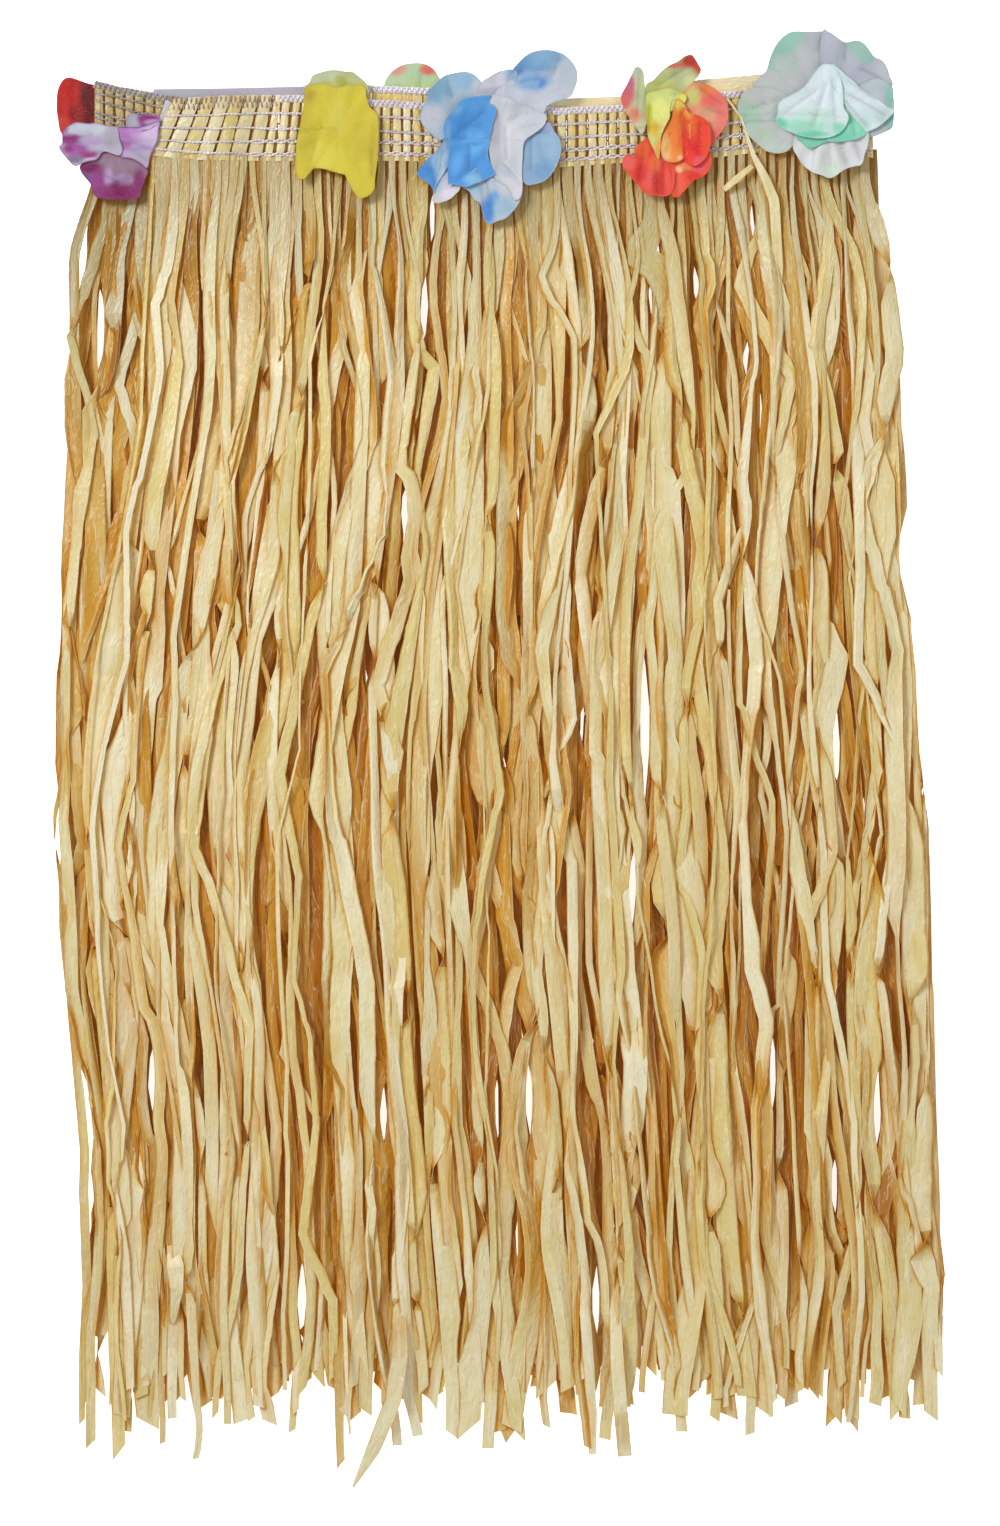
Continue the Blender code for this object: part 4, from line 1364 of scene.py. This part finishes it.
def petal_material(name):
    """Thin stiffened cloth: the dye on the points, specks of undyed fibre, a fine crepe and soft veins with
    painted shade, and a faint painted glow in the dye's colour.
    """
    material, tree, shader = new_material(name)
    place = tree.nodes.new("ShaderNodeTexCoord").outputs["Object"]
    dye = tree.nodes.new("ShaderNodeVertexColor")
    dye.layer_name = "dye"
    crepe = noise(tree, place, 2400.0, 3.0, 0.7)
    specks = noise(tree, place, 900.0, 4.0, 0.75)
    veins = noise(tree, strip_place(tree), VEINS, 4.0, 0.6)
    base = mixed(tree, spread(tree, specks, 0.56, 0.74, 0.0, 0.17), dye.outputs["Color"], UNDYED)
    base = mixed(tree, spread(tree, crepe, 0.35, 0.6, 0.16, 0.0), base, GREY_SHADE)
    base = mixed(tree, spread(tree, veins, 0.30, 0.46, 0.12, 0.0), base, GREY_SHADE)
    feed(tree, shader.inputs["Base Color"], base)
    # Painted glow in the dye's colour.
    feed(tree, shader.inputs["Emission Color"], dye.outputs["Color"])
    finish(shader, {"Emission Strength": PETAL_GLOW, "Roughness": 0.55, "Specular IOR Level": 0.18,
                    "Sheen Weight": 0.06, "Sheen Roughness": 0.4})
    height = maths(tree, "ADD", maths(tree, "MULTIPLY", crepe, 0.3), veins)
    height = maths(tree, "ADD", height, maths(tree, "MULTIPLY", specks, 0.5))
    bumped(tree, shader, height, 0.6, 0.0006)
    return material


petal_cloth = petal_material("petal_cloth")
print("material", petal_cloth.name)

# %% One flower
FOLD_EXTRA = 1.05        # the cloth's own area, over its petals' outlines


def both_faces(values):
    """Rings from the middle of the under face out to the edge, and back in over the upper face."""
    return np.concatenate([values, values[::-1]])


def flower_piece(name, middle, petals, nodes):
    """One flower as one mesh: its petals, each a closed shell, with the dye as a colour on its points."""
    shells, dyes, strips, areas = [], [], [], []
    for petal in petals:
        x, y, z, share, area = petal_sheet(rng, petal)
        tint = petal_dye(rng, petal, x, y, share)
        wall = np.concatenate([np.full_like(z, -PETAL_CLOTH / 2), np.full_like(z, PETAL_CLOTH / 2)])
        shell = np.stack([both_faces(x) + middle[0], both_faces(y) + middle[1], both_faces(z) + wall], -1)
        strip = np.stack([np.arctan2(y, x) * 18.0 + 100 * len(strips), np.hypot(x, y)], -1)
        shells.append(shell.reshape(-1, 3))
        dyes.append(both_faces(tint).reshape(-1, 3))
        strips.append(both_faces(strip).reshape(-1, 2))
        areas.append(area)
    quads = shell_faces(2 * PETAL_RINGS, PETAL_ROUND)
    piece = mesh_from_grids(name, np.array(shells), quads, np.array(strips), {}, 38)
    dye_layer = piece.data.color_attributes.new("dye", "FLOAT_COLOR", "POINT")
    tints = np.concatenate(dyes)
    tints = np.concatenate([tints, np.ones((len(tints), 1))], 1)
    dye_layer.data.foreach_set("color", np.clip(tints, 0, 1).astype(np.float32).ravel())
    dress(piece, petal_cloth)
    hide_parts(*nodes)
    area = sum(areas) * FOLD_EXTRA


def front_flower(name, middle, petals):
    """A flower on the band's front, which stands for its outer and its inner layer in the frame."""
    flower_piece(name, middle, petals, [name + "_outer", name + "_inner"])


# %% [markdown]
# Each flower is a list of petals, from the lowest to the highest. A petal has its outline, its
# level above the floor, its ground colour, and washes of dye: each an oval with its middle, its
# reach across and along, and its colour. The rim is a colour, a width and a strength: dye at the
# edge and, where it is dark, a painted shadow line. After it come how crumpled the cloth is, and
# its creases, each a line between two points.

# %% Purple flower
DARK_MAGENTA = (118, 28, 84)
PURPLE_PETALS = [
    Petal([(9, 12), (10.5, 17), (13, 19), (16, 17.5), (22, 17.8), (28.5, 16.5), (29.5, 13), (22, 8),
           (12, 7)],
          12.6, (140, 66, 128),
          [(12.5, 14, 5, 7, (166, 168, 184)), (22, 15, 7, 3, (134, 44, 110)),
           (26, 13, 6, 2, (172, 140, 182))],
          ((190, 130, 170), 0.6, 0.5)),
    Petal([(-18.5, -17.5), (-19, -13), (-13, -10), (-8, -7), (-4, -5), (2, -5), (8, -7), (14, -9),
           (20, -14), (22.5, -17), (20.5, -22), (18.5, -28), (16.5, -33.5), (4, -34.5), (-9, -33),
           (-12, -26), (-15, -22)],
          12.6, (138, 104, 128),
          [(4, -12, 13, 6, (146, 118, 136)), (-13, -15, 8, 4, (116, 24, 80)),
           (-9, -22, 7, 7, (140, 56, 124)), (-2, -21, 3, 7, (172, 138, 182)),
           (8, -21.5, 9, 3.4, (158, 132, 168)), (-7, -29, 5, 6, (146, 68, 138)),
           (6, -30, 15, 6.6, (120, 20, 84)), (17, -24, 4, 9, (124, 38, 96)),
           (-15, -20, 3, 2, (112, 84, 140))],
          (DARK_MAGENTA, 0.9, 0.7), 0.7,
          [((0, -26), (10, -22)), ((-10, -16), (4, -24)), ((10, -22), (18, -18))]),
    Petal([(3.5, 9.5), (4, 3), (5, -3), (5, -8), (12, -9.5), (18, -12.5), (22, -15.5), (23.5, -9), (26, -3),
           (28.5, 2.5), (28.8, 8), (29.5, 14), (24, 12), (18, 10.3), (11, 9.8)],
          13.4, (180, 152, 196),
          [(9, 6, 6, 5, (172, 112, 180)), (7, -1, 6, 3, (166, 96, 160)), (24, 5, 7, 9, (198, 178, 212)),
           (17, -7, 8, 6, (172, 164, 184)), (19, -3, 8, 1.5, (160, 136, 176)),
           (14, 7, 4, 3, (186, 140, 196))],
          (DARK_MAGENTA, 0.9, 0.7), 0.6, [((7, 1), (24, -2)), ((12, -4), (22, -10))]),
    Petal([(-30, 4.5), (-29, 8.5), (-24.5, 11.5), (-21, 12.8), (-14, 12.0), (-9, 12.8), (-5, 11.5),
           (0, 10.5), (4, 9.5), (5, 3), (7, -4), (5, -7.6), (0, -6.2), (-5, -5.2), (-9, -9.8), (-16, -11.5),
           (-22, -14), (-27, -9.5), (-31, -4.5), (-32, -1.5), (-30, -0.3)],
          14.0, (176, 172, 190),
          [(-16, 9, 15, 4, (192, 195, 208)), (-25, 2.5, 8, 3.4, (134, 36, 110)),
           (-22, -4, 9, 4.5, (164, 82, 158)), (-14, -7, 7, 2.6, (152, 60, 126)),
           (-12, 1.5, 8, 3, (172, 150, 188)), (0, 3, 5, 7, (164, 160, 172)),
           (-22, -9.5, 6, 3, (128, 108, 140)), (-29, 8.5, 3, 3, (170, 104, 168)),
           (-12, -10, 5, 1.2, (198, 176, 206)), (-26, -3, 3, 3, (140, 60, 124))],
          ((112, 44, 92), 0.7, 0.6), 0.6,
          [((-29, 4.5), (-12, 5)), ((-16, -8), (-6, -5)), ((-20, -1), (-14, -5))]),
]
front_flower("flower_purple", (-236, 377), PURPLE_PETALS)

# %% Yellow flower
YELLOW = (206, 190, 54)
YELLOW_PETALS = [
    Petal([(-19, 20), (-20, 25), (-17, 29), (-15.5, 32.5), (-11, 34.5), (-5, 36), (0, 36), (4, 35.3),
           (9, 35), (12, 33), (15, 30.5), (18, 27), (17.5, 20), (0, 12)],
          11.2, (186, 188, 112),
          [(-6, 33, 13, 3.5, (184, 196, 154)), (-13, 29, 4, 4, (186, 190, 156)),
           (2, 29, 4, 4, (168, 172, 76)), (0, 20, 16, 5, (200, 186, 64)), (11, 31, 5, 3, (176, 184, 132))],
          ((172, 180, 146), 0.6, 0.5), 0.4),
    Petal([(-20, 24), (-20.5, 16), (-22, 7), (-24.5, -5), (-25.5, -12), (-25.5, -20), (-25.5, -26),
           (-24, -30), (-21, -31.5), (-18, -28), (-15, -24), (-15, -24), (-9, -24.3), (-2, -26.5),
           (5, -28.5), (6, -32), (8, -35), (10, -39), (13, -42), (16, -43), (20, -40), (22.5, -38),
           (23, -30), (24.5, -18), (25, -5), (25, 5), (24, 9.5), (20, 13), (17.5, 20), (16.5, 26.5),
           (8, 27.5), (0, 25.5), (-8, 28), (-15, 27)],
          12.2, YELLOW,
          [(-19, -4, 5, 26, (196, 180, 54)), (22, -15, 3, 18, (190, 170, 46)),
           (-7, -18, 10, 10, (212, 200, 70)), (0, 8, 6, 12, (209, 196, 76)),
           (-17, 21, 4, 4, (180, 156, 56)), (2, 26, 12, 2, (198, 188, 80)),
           (14, -8, 5, 14, (200, 184, 56))],
          ((178, 156, 34), 0.7, 0.5), 0.55,
          [((-10, 4), (-16, -18)), ((20.5, -13), (21, -27)), ((-15, -24), (-2, -26))]),
]
front_flower("flower_yellow", (-98, 386), YELLOW_PETALS)

# %% Blue flower
BLUE = (78, 148, 214)
PALE = (200, 202, 210)
BLUE_PETALS = [
    Petal([(-44, 24), (-47, 17), (-47.5, 12), (-45, 7), (-40, 2.5), (-35, -1), (-28, 4), (-15, 20),
           (-8, 30), (-10, 34.5), (-13, 38), (-17, 40.5), (-22, 41), (-28, 40), (-33, 38.5), (-38, 34),
           (-42, 29.5)],
          11.0, (166, 186, 202),
          [(-37, 29, 11, 11, (120, 162, 190)), (-22, 36, 11, 6, (144, 180, 206)),
           (-40, 13, 9, 9, (188, 192, 202)), (-26, 22, 9, 6, (156, 178, 192)),
           (-12, 33, 5, 5, (182, 192, 202))],
          ((116, 156, 186), 0.6, 0.5), 0.45, [((-32, 38), (-28, 26))]),
    Petal([(-10, 34.3), (-5, 38), (0, 41), (4, 42), (8, 42.5), (12, 40), (10, 34), (4, 28), (-4, 20),
           (-14, 24)],
          11.5, (198, 199, 209), [(9, 39, 5, 6, (132, 168, 204)), (-3, 29, 9, 3, (172, 175, 187))],
          ((176, 178, 190), 0.6, 0.4), 0.45),
    Petal([(8, 41), (12, 46), (16, 50), (21, 53), (28, 54.3), (35, 53.5), (41, 51), (46, 46), (48.5, 40),
           (48, 34), (46, 29), (44, 25.5), (36, 23), (30, 20), (26, 14), (8, 8), (0, 16), (-2, 28), (4, 33),
           (7, 37)],
          12.1, (192, 198, 209),
          [(21, 46, 15, 8, (108, 154, 194)), (31, 50, 12, 6, (126, 168, 202)),
           (21, 35, 12, 6, (128, 168, 210)), (43, 38, 8, 13, (178, 188, 199)),
           (12, 43, 6, 4, (100, 144, 188)), (36, 28, 10, 5, (190, 196, 208)),
           (27, 34, 2, 4, (92, 142, 202))],
          ((150, 170, 190), 0.6, 0.5), 0.5,
          [((4, 34), (14, 41.5)), ((14, 35), (25, 37)), ((38, 50), (33, 38))]),
    Petal([(-49.5, -21), (-45, -14.5), (-40, -9.5), (-35, -4), (-33, 0), (-30, 4), (-26, -6), (-30, -16),
           (-36, -26), (-39, -33.5), (-39, -33.5), (-41, -29), (-46, -25)],
          12.0, (126, 168, 208),
          [(-45, -20, 6, 6, (70, 136, 206)), (-40, -26, 4, 6, (84, 146, 208)),
           (-34, -8, 6, 6, (146, 182, 210)), (-35, -18, 2.5, 9, (166, 190, 208))],
          ((92, 142, 200), 0.5, 0.4), 0.5, [((-42, -12), (-38, -30)), ((-34, -8), (-36, -22))]),
    Petal([(-30, -10), (-36, -20), (-39.5, -34), (-40, -38.8), (-36, -39.5), (-30, -37.5), (-26, -34),
           (-23, -30), (-22, -20)],
          11.5, (196, 197, 206), [(-29, -34, 7, 4, (216, 212, 224)), (-37, -26, 3, 9, (172, 188, 204))],
          ((186, 184, 196), 0.6, 0.4), 0.5),
    Petal([(15, -2), (20, 3), (26, 8), (31, 10), (34, 5), (37, 1), (38.5, -4), (38, -10), (36, -16),
           (32.5, -22), (28, -26), (22, -28), (17, -28), (12, -20), (10, -8)],
          12.3, (138, 172, 202),
          [(31, 8, 4, 5, (154, 170, 204)), (20, -8, 6, 11, (142, 176, 206)),
           (28, -20, 8, 6, (120, 158, 198)), (32, -4, 6, 8, (150, 184, 210))],
          ((168, 186, 212), 0.7, 0.5), 0.5, [((20, 4), (20, -18)), ((23, 4), (31, 4))]),
    Petal([(-22, -29), (-18, -32), (-15, -37), (-11, -40), (-9.5, -46), (-8, -51.5), (-8, -51.5),
           (-4, -52.3), (0, -50.5), (4, -49.5), (8, -46), (12, -41), (15, -34), (14.5, -28), (8, -20),
           (0, -14), (-10, -16), (-18, -22)],
          12.7, (178, 190, 204),
          [(-6, -44, 4.5, 9, (78, 138, 210)), (-2, -37, 3, 6, (106, 160, 212)),
           (4, -42, 7, 6, (152, 182, 202)), (-15, -30, 6, 5, (156, 186, 210)),
           (6, -28, 8, 6, (198, 200, 206))],
          ((140, 166, 198), 0.6, 0.5), 0.6, [((-8, -24), (-3, -41)), ((-10, -30), (-9, -44))]),
    Petal([(-6, 24), (-2, 27), (6, 25), (14, 21), (22, 18.5), (26, 16), (30, 14), (28, 8), (22, 3),
           (16, -2), (15, -12), (14.5, -22), (15, -28), (14, -36), (10, -38), (6, -30), (-2, -24),
           (-5, -12), (-6, 4), (-5, 14)],
          13.2, PALE,
          [(-2, 5, 4, 14, (178, 182, 191)), (8, 2, 6, 13, (212, 212, 219)), (20, 12, 8, 4, (200, 206, 216)),
           (10, -28, 6, 8, (206, 206, 212)), (-1, -14, 4, 8, (190, 192, 200)),
           (10, 20, 8, 3, (188, 191, 201))],
          ((172, 175, 186), 0.6, 0.5), 0.7,
          [((7, 11.5), (12, 14)), ((15, 14.5), (22, 18)), ((4, -17), (14, -28)), ((4, 8), (5, -12))]),
    Petal([(-4, 26.3), (-4, 26.3), (-10, 26), (-17, 25), (-23, 23), (-26, 19), (-30, 14), (-33, 9),
           (-33, 2), (-30, -5), (-30.5, -15), (-30.5, -28), (-30.5, -28), (-25, -28.5), (-20, -30),
           (-14, -28), (-8, -25.5), (-1.5, -22), (-1.5, -22), (-4, -17), (-6, -10), (-5, 0), (-3, 10),
           (-1, 16), (-2.5, 20), (-6, 22)],
          14.2, BLUE,
          [(-20, 10, 8, 8, (62, 134, 202)), (-14, -2, 8, 8, (96, 170, 232)),
           (-25, -15, 5, 8, (88, 160, 224)), (-6, -15, 3, 5, (80, 150, 222)),
           (-27, 18, 5, 4, (110, 162, 204)), (-15, -25, 6, 4, (130, 182, 220)),
           (-9, 20, 6, 4, (86, 152, 214)), (-24, 2, 6, 4, (66, 138, 206)),
           (-31, 4, 2, 10, (110, 160, 206))],
          ((120, 168, 212), 0.7, 0.5), 0.9,
          [((-31, -2), (-8, 17)), ((-25, -25), (-15, -18)), ((-17, -5), (-18, -17)), ((-19, -5), (-9, -3)),
           ((-14, -17), (-8, -26.5))]),
]
front_flower("flower_blue", (0, 380), BLUE_PETALS)

# %% Red and orange flower
LIME = (206, 214, 124)
RED_PETALS = [
    Petal([(-35, 19), (-34, 14), (-31, 8), (-27, 2), (-22, -4), (-19, 5), (-19.5, 20), (-20.5, 27),
           (-21, 33), (-22.5, 36), (-25, 37.3), (-27, 35.5), (-29, 31), (-32, 25)],
          10.8, (206, 202, 166),
          [(-31, 22, 5, 9, (206, 102, 112)), (-33, 16, 4, 5, (212, 106, 96)),
           (-22, 20, 3, 17, (178, 192, 146)), (-27, 8, 5, 5, (222, 144, 114)),
           (-24, 34, 3, 3, (172, 190, 166)), (-29.5, 27, 3, 6, (196, 108, 132))],
          ((190, 120, 120), 0.6, 0.4), 0.4, [((-24, 30), (-25, 8))]),
    Petal([(-20, 24.5), (-15, 29), (-10, 34.5), (-5, 38), (0, 40.5), (4, 43.5), (8, 44.5), (10, 42.5),
           (12, 39), (14, 35), (12, 31), (8, 26), (3, 19), (-3, 14), (-18, 8)],
          11.4, (184, 190, 126),
          [(8, 40, 8.5, 5, (172, 44, 24)), (12.5, 36, 4, 4.5, (200, 66, 48)),
           (-2, 38, 7, 1.8, (214, 108, 90)), (-10, 22, 10, 8, (184, 192, 108)),
           (4, 32, 8, 4.5, (178, 184, 138)), (8, 28, 5, 4, (202, 206, 148))],
          ((176, 110, 70), 0.6, 0.3), 0.5, [((-12, 26), (4, 36))]),
    Petal([(2, 20), (9, 26.8), (13, 27), (18, 26), (22, 24), (26, 20.5), (29, 17), (30.5, 11), (30, 4),
           (27.5, -1.5), (24, -6), (20, -12), (12, -14), (4, -4), (0, 10)],
          11.9, (232, 144, 114),
          [(22, 17, 9, 6, (232, 104, 90)), (27, 10, 5, 10, (230, 120, 112)),
           (17, 23.5, 6, 3, (230, 132, 66)), (9, 19, 5, 6, (202, 202, 114)), (17, 8, 6, 5, (222, 166, 128)),
           (23, -6, 5, 6, (230, 110, 102))],
          ((232, 92, 72), 0.8, 0.5), 0.5, [((14, 24), (27, 14)), ((16, 12), (28, 8))]),
    Petal([(-34, -20), (-31, -16), (-28, -18), (-25, -11), (-21, -8), (-18, -6), (-13, -12), (-8, -20),
           (-3, -24), (-2, -32), (-4, -40), (-8, -42.5), (-14, -42), (-19, -41.5), (-22, -39), (-27, -33),
           (-31, -28), (-34, -24)],
          12.2, (226, 72, 50),
          [(-22, -13, 5, 5, (230, 96, 40)), (-30, -22, 5, 5, (232, 98, 88)),
           (-18, -33, 4, 7, (230, 92, 86)), (-14, -22, 4, 6, (232, 108, 62)),
           (-12, -35, 4, 8, (208, 48, 34)), (-23, -28, 4, 6, (210, 42, 32)),
           (-6, -32, 3, 9, (232, 76, 62))],
          ((232, 100, 80), 0.8, 0.4), 0.6,
          [((-21, -12), (-24, -34)), ((-14, -20), (-13, -40)), ((-9, -22), (-9, -41))]),
    Petal([(-6, -20), (4, -18), (12, -16), (18, -14), (20.5, -20), (19, -26), (15.5, -30), (9, -33),
           (5, -38), (2, -41), (0, -43), (-4, -42), (-4, -32)],
          12.9, (232, 82, 56),
          [(12, -24, 6, 4, (234, 82, 94)), (4, -24, 5, 3, (238, 134, 82)), (10, -31, 6, 2.5, (228, 56, 36)),
           (0.5, -26, 2.5, 2, (242, 186, 134)), (0, -36, 4, 6, (232, 90, 66))],
          ((228, 70, 42), 0.8, 0.5), 0.6, [((3, -26), (14, -29)), ((-1, -28), (-1, -40))]),
    Petal([(-19.5, 20), (-14, 22), (-6, 24), (0, 22), (5, 19), (3, 14), (-3, 17), (-5, 11), (-5, 6),
           (-8, 0), (-10.5, -6), (-11, -13), (-12, -20), (-15, -14), (-18.5, -6), (-19, 0), (-20, 8)],
          13.6, LIME,
          [(-11, 10, 6, 8, (230, 232, 132)), (-17.5, 6, 2, 11, (196, 196, 52)),
           (-15, -1, 4, 5, (220, 182, 56)), (-8, 1, 4, 4, (230, 210, 122)), (-3, 19, 6, 4, (204, 218, 138)),
           (2, 18, 4, 4, (220, 218, 104)), (-12, -13, 3, 7, (226, 170, 80))],
          ((196, 140, 40), 0.6, 0.6), 0.6, [((-18, 12), (-18, -3)), ((-4, 20), (4, 21))]),
    Petal([(-4, 6), (-3, 12), (-0.5, 17), (3, 15), (6, 10), (8, 4), (8, -6), (6, -16), (1, -21), (-4, -22),
           (-9, -20), (-11, -13), (-9.5, -5), (-6.5, 1)],
          14.2, (240, 142, 60),
          [(-2, -4, 4, 11, (238, 124, 50)), (-8, -12, 3.5, 8, (242, 182, 106)),
           (2, 6, 4, 5, (234, 118, 32)), (1, 14, 4, 4, (222, 196, 84)), (-8, -18, 3, 3, (244, 196, 138)),
           (4, -6, 3, 9, (230, 66, 42)), (1, -19, 1.6, 2, (244, 186, 140))],
          ((190, 70, 14), 0.7, 0.7), 0.7, [((2, 10), (2.5, -6)), ((-5, -4), (-7, -14))]),
    Petal([(3, 12), (6, 9), (11, 7), (16, 5), (19, 0), (20, -7), (19, -14), (16, -20), (10, -24), (4, -21),
           (2.5, -14), (4, -6), (3, 3)],
          14.9, (234, 76, 44),
          [(9, -14, 6, 8, (228, 42, 42)), (9, 1, 5, 5, (240, 100, 40)), (15, -2, 4, 6, (234, 64, 38)),
           (6, 8, 3, 4, (234, 156, 62)), (14, -21, 5, 3.5, (232, 92, 102)), (6, -18, 4, 4, (238, 58, 42))],
          ((232, 54, 36), 0.7, 0.6), 0.7, [((6, 4), (8, -8)), ((13, 3), (13, -12))]),
]
front_flower("flower_red", (110, 387), RED_PETALS)

# %% Mint flower
MINT = (152, 194, 178)
MINT_DEEP = (116, 204, 170)
ICE = (216, 231, 234)
MINT_PETALS = [
    Petal([(-36, 27), (-34, 34), (-31, 41), (-27, 46.5), (-23, 49.5), (-19, 50.8), (-10, 50.5), (0, 50.7),
           (6, 47), (6, 30), (-10, 15), (-26, 6), (-34, 4), (-41, 12), (-45, 17), (-40, 23)],
          10.6, (186, 190, 193),
          [(-27, 42, 10, 9, MINT), (-22, 47, 12, 5, (150, 198, 180)), (-33, 33, 5, 7, (154, 192, 178)),
           (-5, 44, 10, 8, (180, 186, 191)), (-36, 22, 8, 6, (190, 194, 192)),
           (-24, 30, 8, 7, (178, 194, 186))],
          ((140, 176, 162), 0.6, 0.5), 0.5, [((-2, 48), (-4, 40))]),
    Petal([(-2, 50.4), (2, 50.4), (6, 48), (10, 45), (13, 44), (17, 45), (20, 45.2), (24, 43), (27, 39),
           (30, 35), (34, 33.5), (37, 30), (39, 24), (40, 16), (20, 5), (4, 10), (-4, 25)],
          11.1, (180, 183, 196),
          [(20, 41, 9, 5, MINT), (25, 36, 6, 6, (152, 190, 180)), (4, 42, 6, 8, (182, 184, 196)),
           (36, 24, 5, 8, (188, 194, 202)), (10, 33, 8, 8, (176, 182, 192))],
          ((150, 172, 168), 0.6, 0.5), 0.5, [((12, 43), (12, 34)), ((22, 28), (34, 22))]),
    Petal([(40, 18), (41.5, 11), (42, 4), (41.5, -4), (40.5, -8.5), (36, -11), (31, -13), (27, -13.5),
           (20, -9), (10, 0), (16, 14), (30, 22)],
          11.6, (186, 194, 202),
          [(39.5, 10, 4, 9, (148, 192, 178)), (40, -4, 4, 6, (138, 186, 172)),
           (34, -11, 7, 2.5, (176, 186, 192)), (28, 6, 8, 8, (198, 207, 214))],
          ((116, 168, 148), 0.6, 0.6), 0.5),
    Petal([(-47, 16), (-52, 10), (-53.5, 4), (-52, -4), (-49, -10), (-45, -15), (-40, -19.5), (-36, -22.5),
           (-31, -24), (-26, -23.5), (-22, -21.5), (-17, -15), (-12, -8), (-20, 8), (-32, 16)],
          11.2, (188, 197, 190),
          [(-46, 0, 8, 11, (168, 197, 176)), (-40, 12, 8, 6, (188, 190, 190)),
           (-30, -20, 9, 4, (190, 202, 190)), (-38, -12, 6, 5, (182, 200, 180)),
           (-24, -12, 6, 6, (196, 196, 198)), (-32, -2, 8, 5, (192, 200, 196))],
          ((150, 178, 158), 0.6, 0.4), 0.5, [((-44, 4), (-28, 10)), ((-48, -4), (-30, -4))]),
    Petal([(-18, -12), (-20, -20), (-18, -25), (-15, -30), (-12, -33), (-8, -36), (-3, -37.5), (2, -39.5),
           (6, -38), (10, -35), (14, -33), (18, -32), (22, -31), (24, -24), (26, -18), (25, -10), (10, -6),
           (-6, -6)],
          12.0, (213, 215, 215),
          [(2, -35, 7, 5, (204, 220, 204)), (-10, -27, 4, 6, (228, 230, 234)),
           (12, -22, 6, 8, (207, 211, 210)), (20, -20, 5, 6, (214, 212, 218))],
          ((190, 192, 194), 0.6, 0.5), 1.0,
          [((-6, -14), (-8, -30)), ((2, -16), (3, -32)), ((9, -16), (13, -29)), ((17, -15), (21, -27))]),
    Petal([(-18, -13), (-14, -18), (-10, -21), (-5, -19.5), (0, -17), (8, -14), (0, -9), (-12, -9)],
          12.8, (124, 198, 168), [(-10, -18, 6, 2, (134, 206, 176))],
          ((104, 170, 144), 0.6, 0.4), 0.4),
    Petal([(10.5, 9), (14, 3), (18, -1), (22, -7), (25, -12), (18, -15.5), (8, -17), (0, -16), (6, -9),
           (9, -2)],
          13.3, (130, 210, 182),
          [(14, 1, 3, 5, (168, 222, 186)), (8, -14, 7, 3, (118, 206, 178)),
           (18, -9, 5, 4, (140, 218, 188))],
          ((112, 190, 160), 0.6, 0.5), 0.5, [((15, 0), (18, -13))]),
    Petal([(3, 30.3), (8, 27.5), (12, 24), (17, 20), (21, 16), (27, 12), (33, 8), (38, 4), (42, 2),
           (38, -3), (32, -8), (26, -10.5), (25, -11.5), (20, -6), (14, 2), (10, 8), (4, 18)],
          13.8, (212, 229, 231),
          [(30, 4, 8, 6, (208, 224, 228)), (22, 10, 8, 6, (220, 234, 238)), (36, -2, 6, 5, (186, 210, 208)),
           (24, -6, 4, 5, (192, 224, 214))],
          ((188, 212, 208), 0.6, 0.5), 0.6,
          [((14, 12), (36, 0)), ((12, 8), (26, -8)), ((14, 20), (30, 9))]),
    Petal([(0, 30.5), (-3, 29.5), (-7, 25), (-11, 19), (-15, 15), (-20, 12), (-25, 9.5), (-29, 6),
           (-29.5, 0), (-30.5, -4), (-26, -9), (-20, -12), (-14, -14), (-6, -15), (2, -14.5), (8, -12),
           (12, -8), (14, -2), (11, 4), (10.5, 12), (9, 22), (5, 29)],
          14.4, ICE,
          [(-13, -7, 17, 5, (164, 220, 196)), (-28, -6, 5, 4, (110, 202, 168)),
           (-10, -12.5, 13, 2.4, MINT_DEEP), (-5, -1, 12, 5, (200, 230, 219)),
           (8, -9, 4, 4, (144, 214, 187)), (0, 14, 8, 13, (221, 235, 241))],
          ((150, 214, 190), 0.6, 0.5), 0.6,
          [((-6, 14), (-24, 2)), ((0, 18), (-8, -8)), ((4, 20), (6, -6))]),
]
front_flower("flower_mint", (200, 395), MINT_PETALS)

# %% Flowers behind
BACK_LEVEL = 1.2
flower_piece("flower_back_red_petals", (-236, 377), [
    Petal([(-34.5, 28), (-33, 36.5), (-27.5, 42), (-14, 38), (4, 34), (4, 14), (-14, 8), (-30, 6),
           (-34, 18)],
          BACK_LEVEL, (166, 26, 18),
          [(-29, 30, 7, 11, (184, 30, 22)), (-15, 26, 6, 18, (96, 14, 12)), (-30, 13, 6, 6, (196, 58, 44)),
           (-22, 20, 5, 6, (142, 20, 16))],
          ((220, 80, 66), 0.6, 0.4), 0.3, [((-25, 36), (-24, 14))]),
], ["flower_back_red"])
flower_piece("flower_back_green_petals", (-51, 398), [
    Petal([(-20, 10), (-17, 21), (-10, 27.5), (-2, 29.7), (6, 29.2), (12, 25.5), (16, 17), (16, 2), (0, -8),
           (-19, -2)],
          BACK_LEVEL, (180, 204, 160),
          [(9, 26, 6, 4, (216, 110, 100)), (-11, 26, 6, 4, (214, 148, 132)),
           (2, 12, 12, 7, (190, 206, 140))],
          ((200, 150, 130), 0.6, 0.4), 0.3, [((4, 26), (2, 8))]),
], ["flower_back_green"])

# %% [markdown]
# ## Count, and the end
# The pieces added here are counted, with their triangles. The looks may stand a little proud
# of the frame's solids, and no more.

# %% Finish
added = [piece for piece in bpy.data.objects
         if piece.type == "MESH" and piece is not floor and piece.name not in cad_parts]
print("pieces added", len(added), "triangles", sum(2 * len(piece.data.polygons) for piece in added))
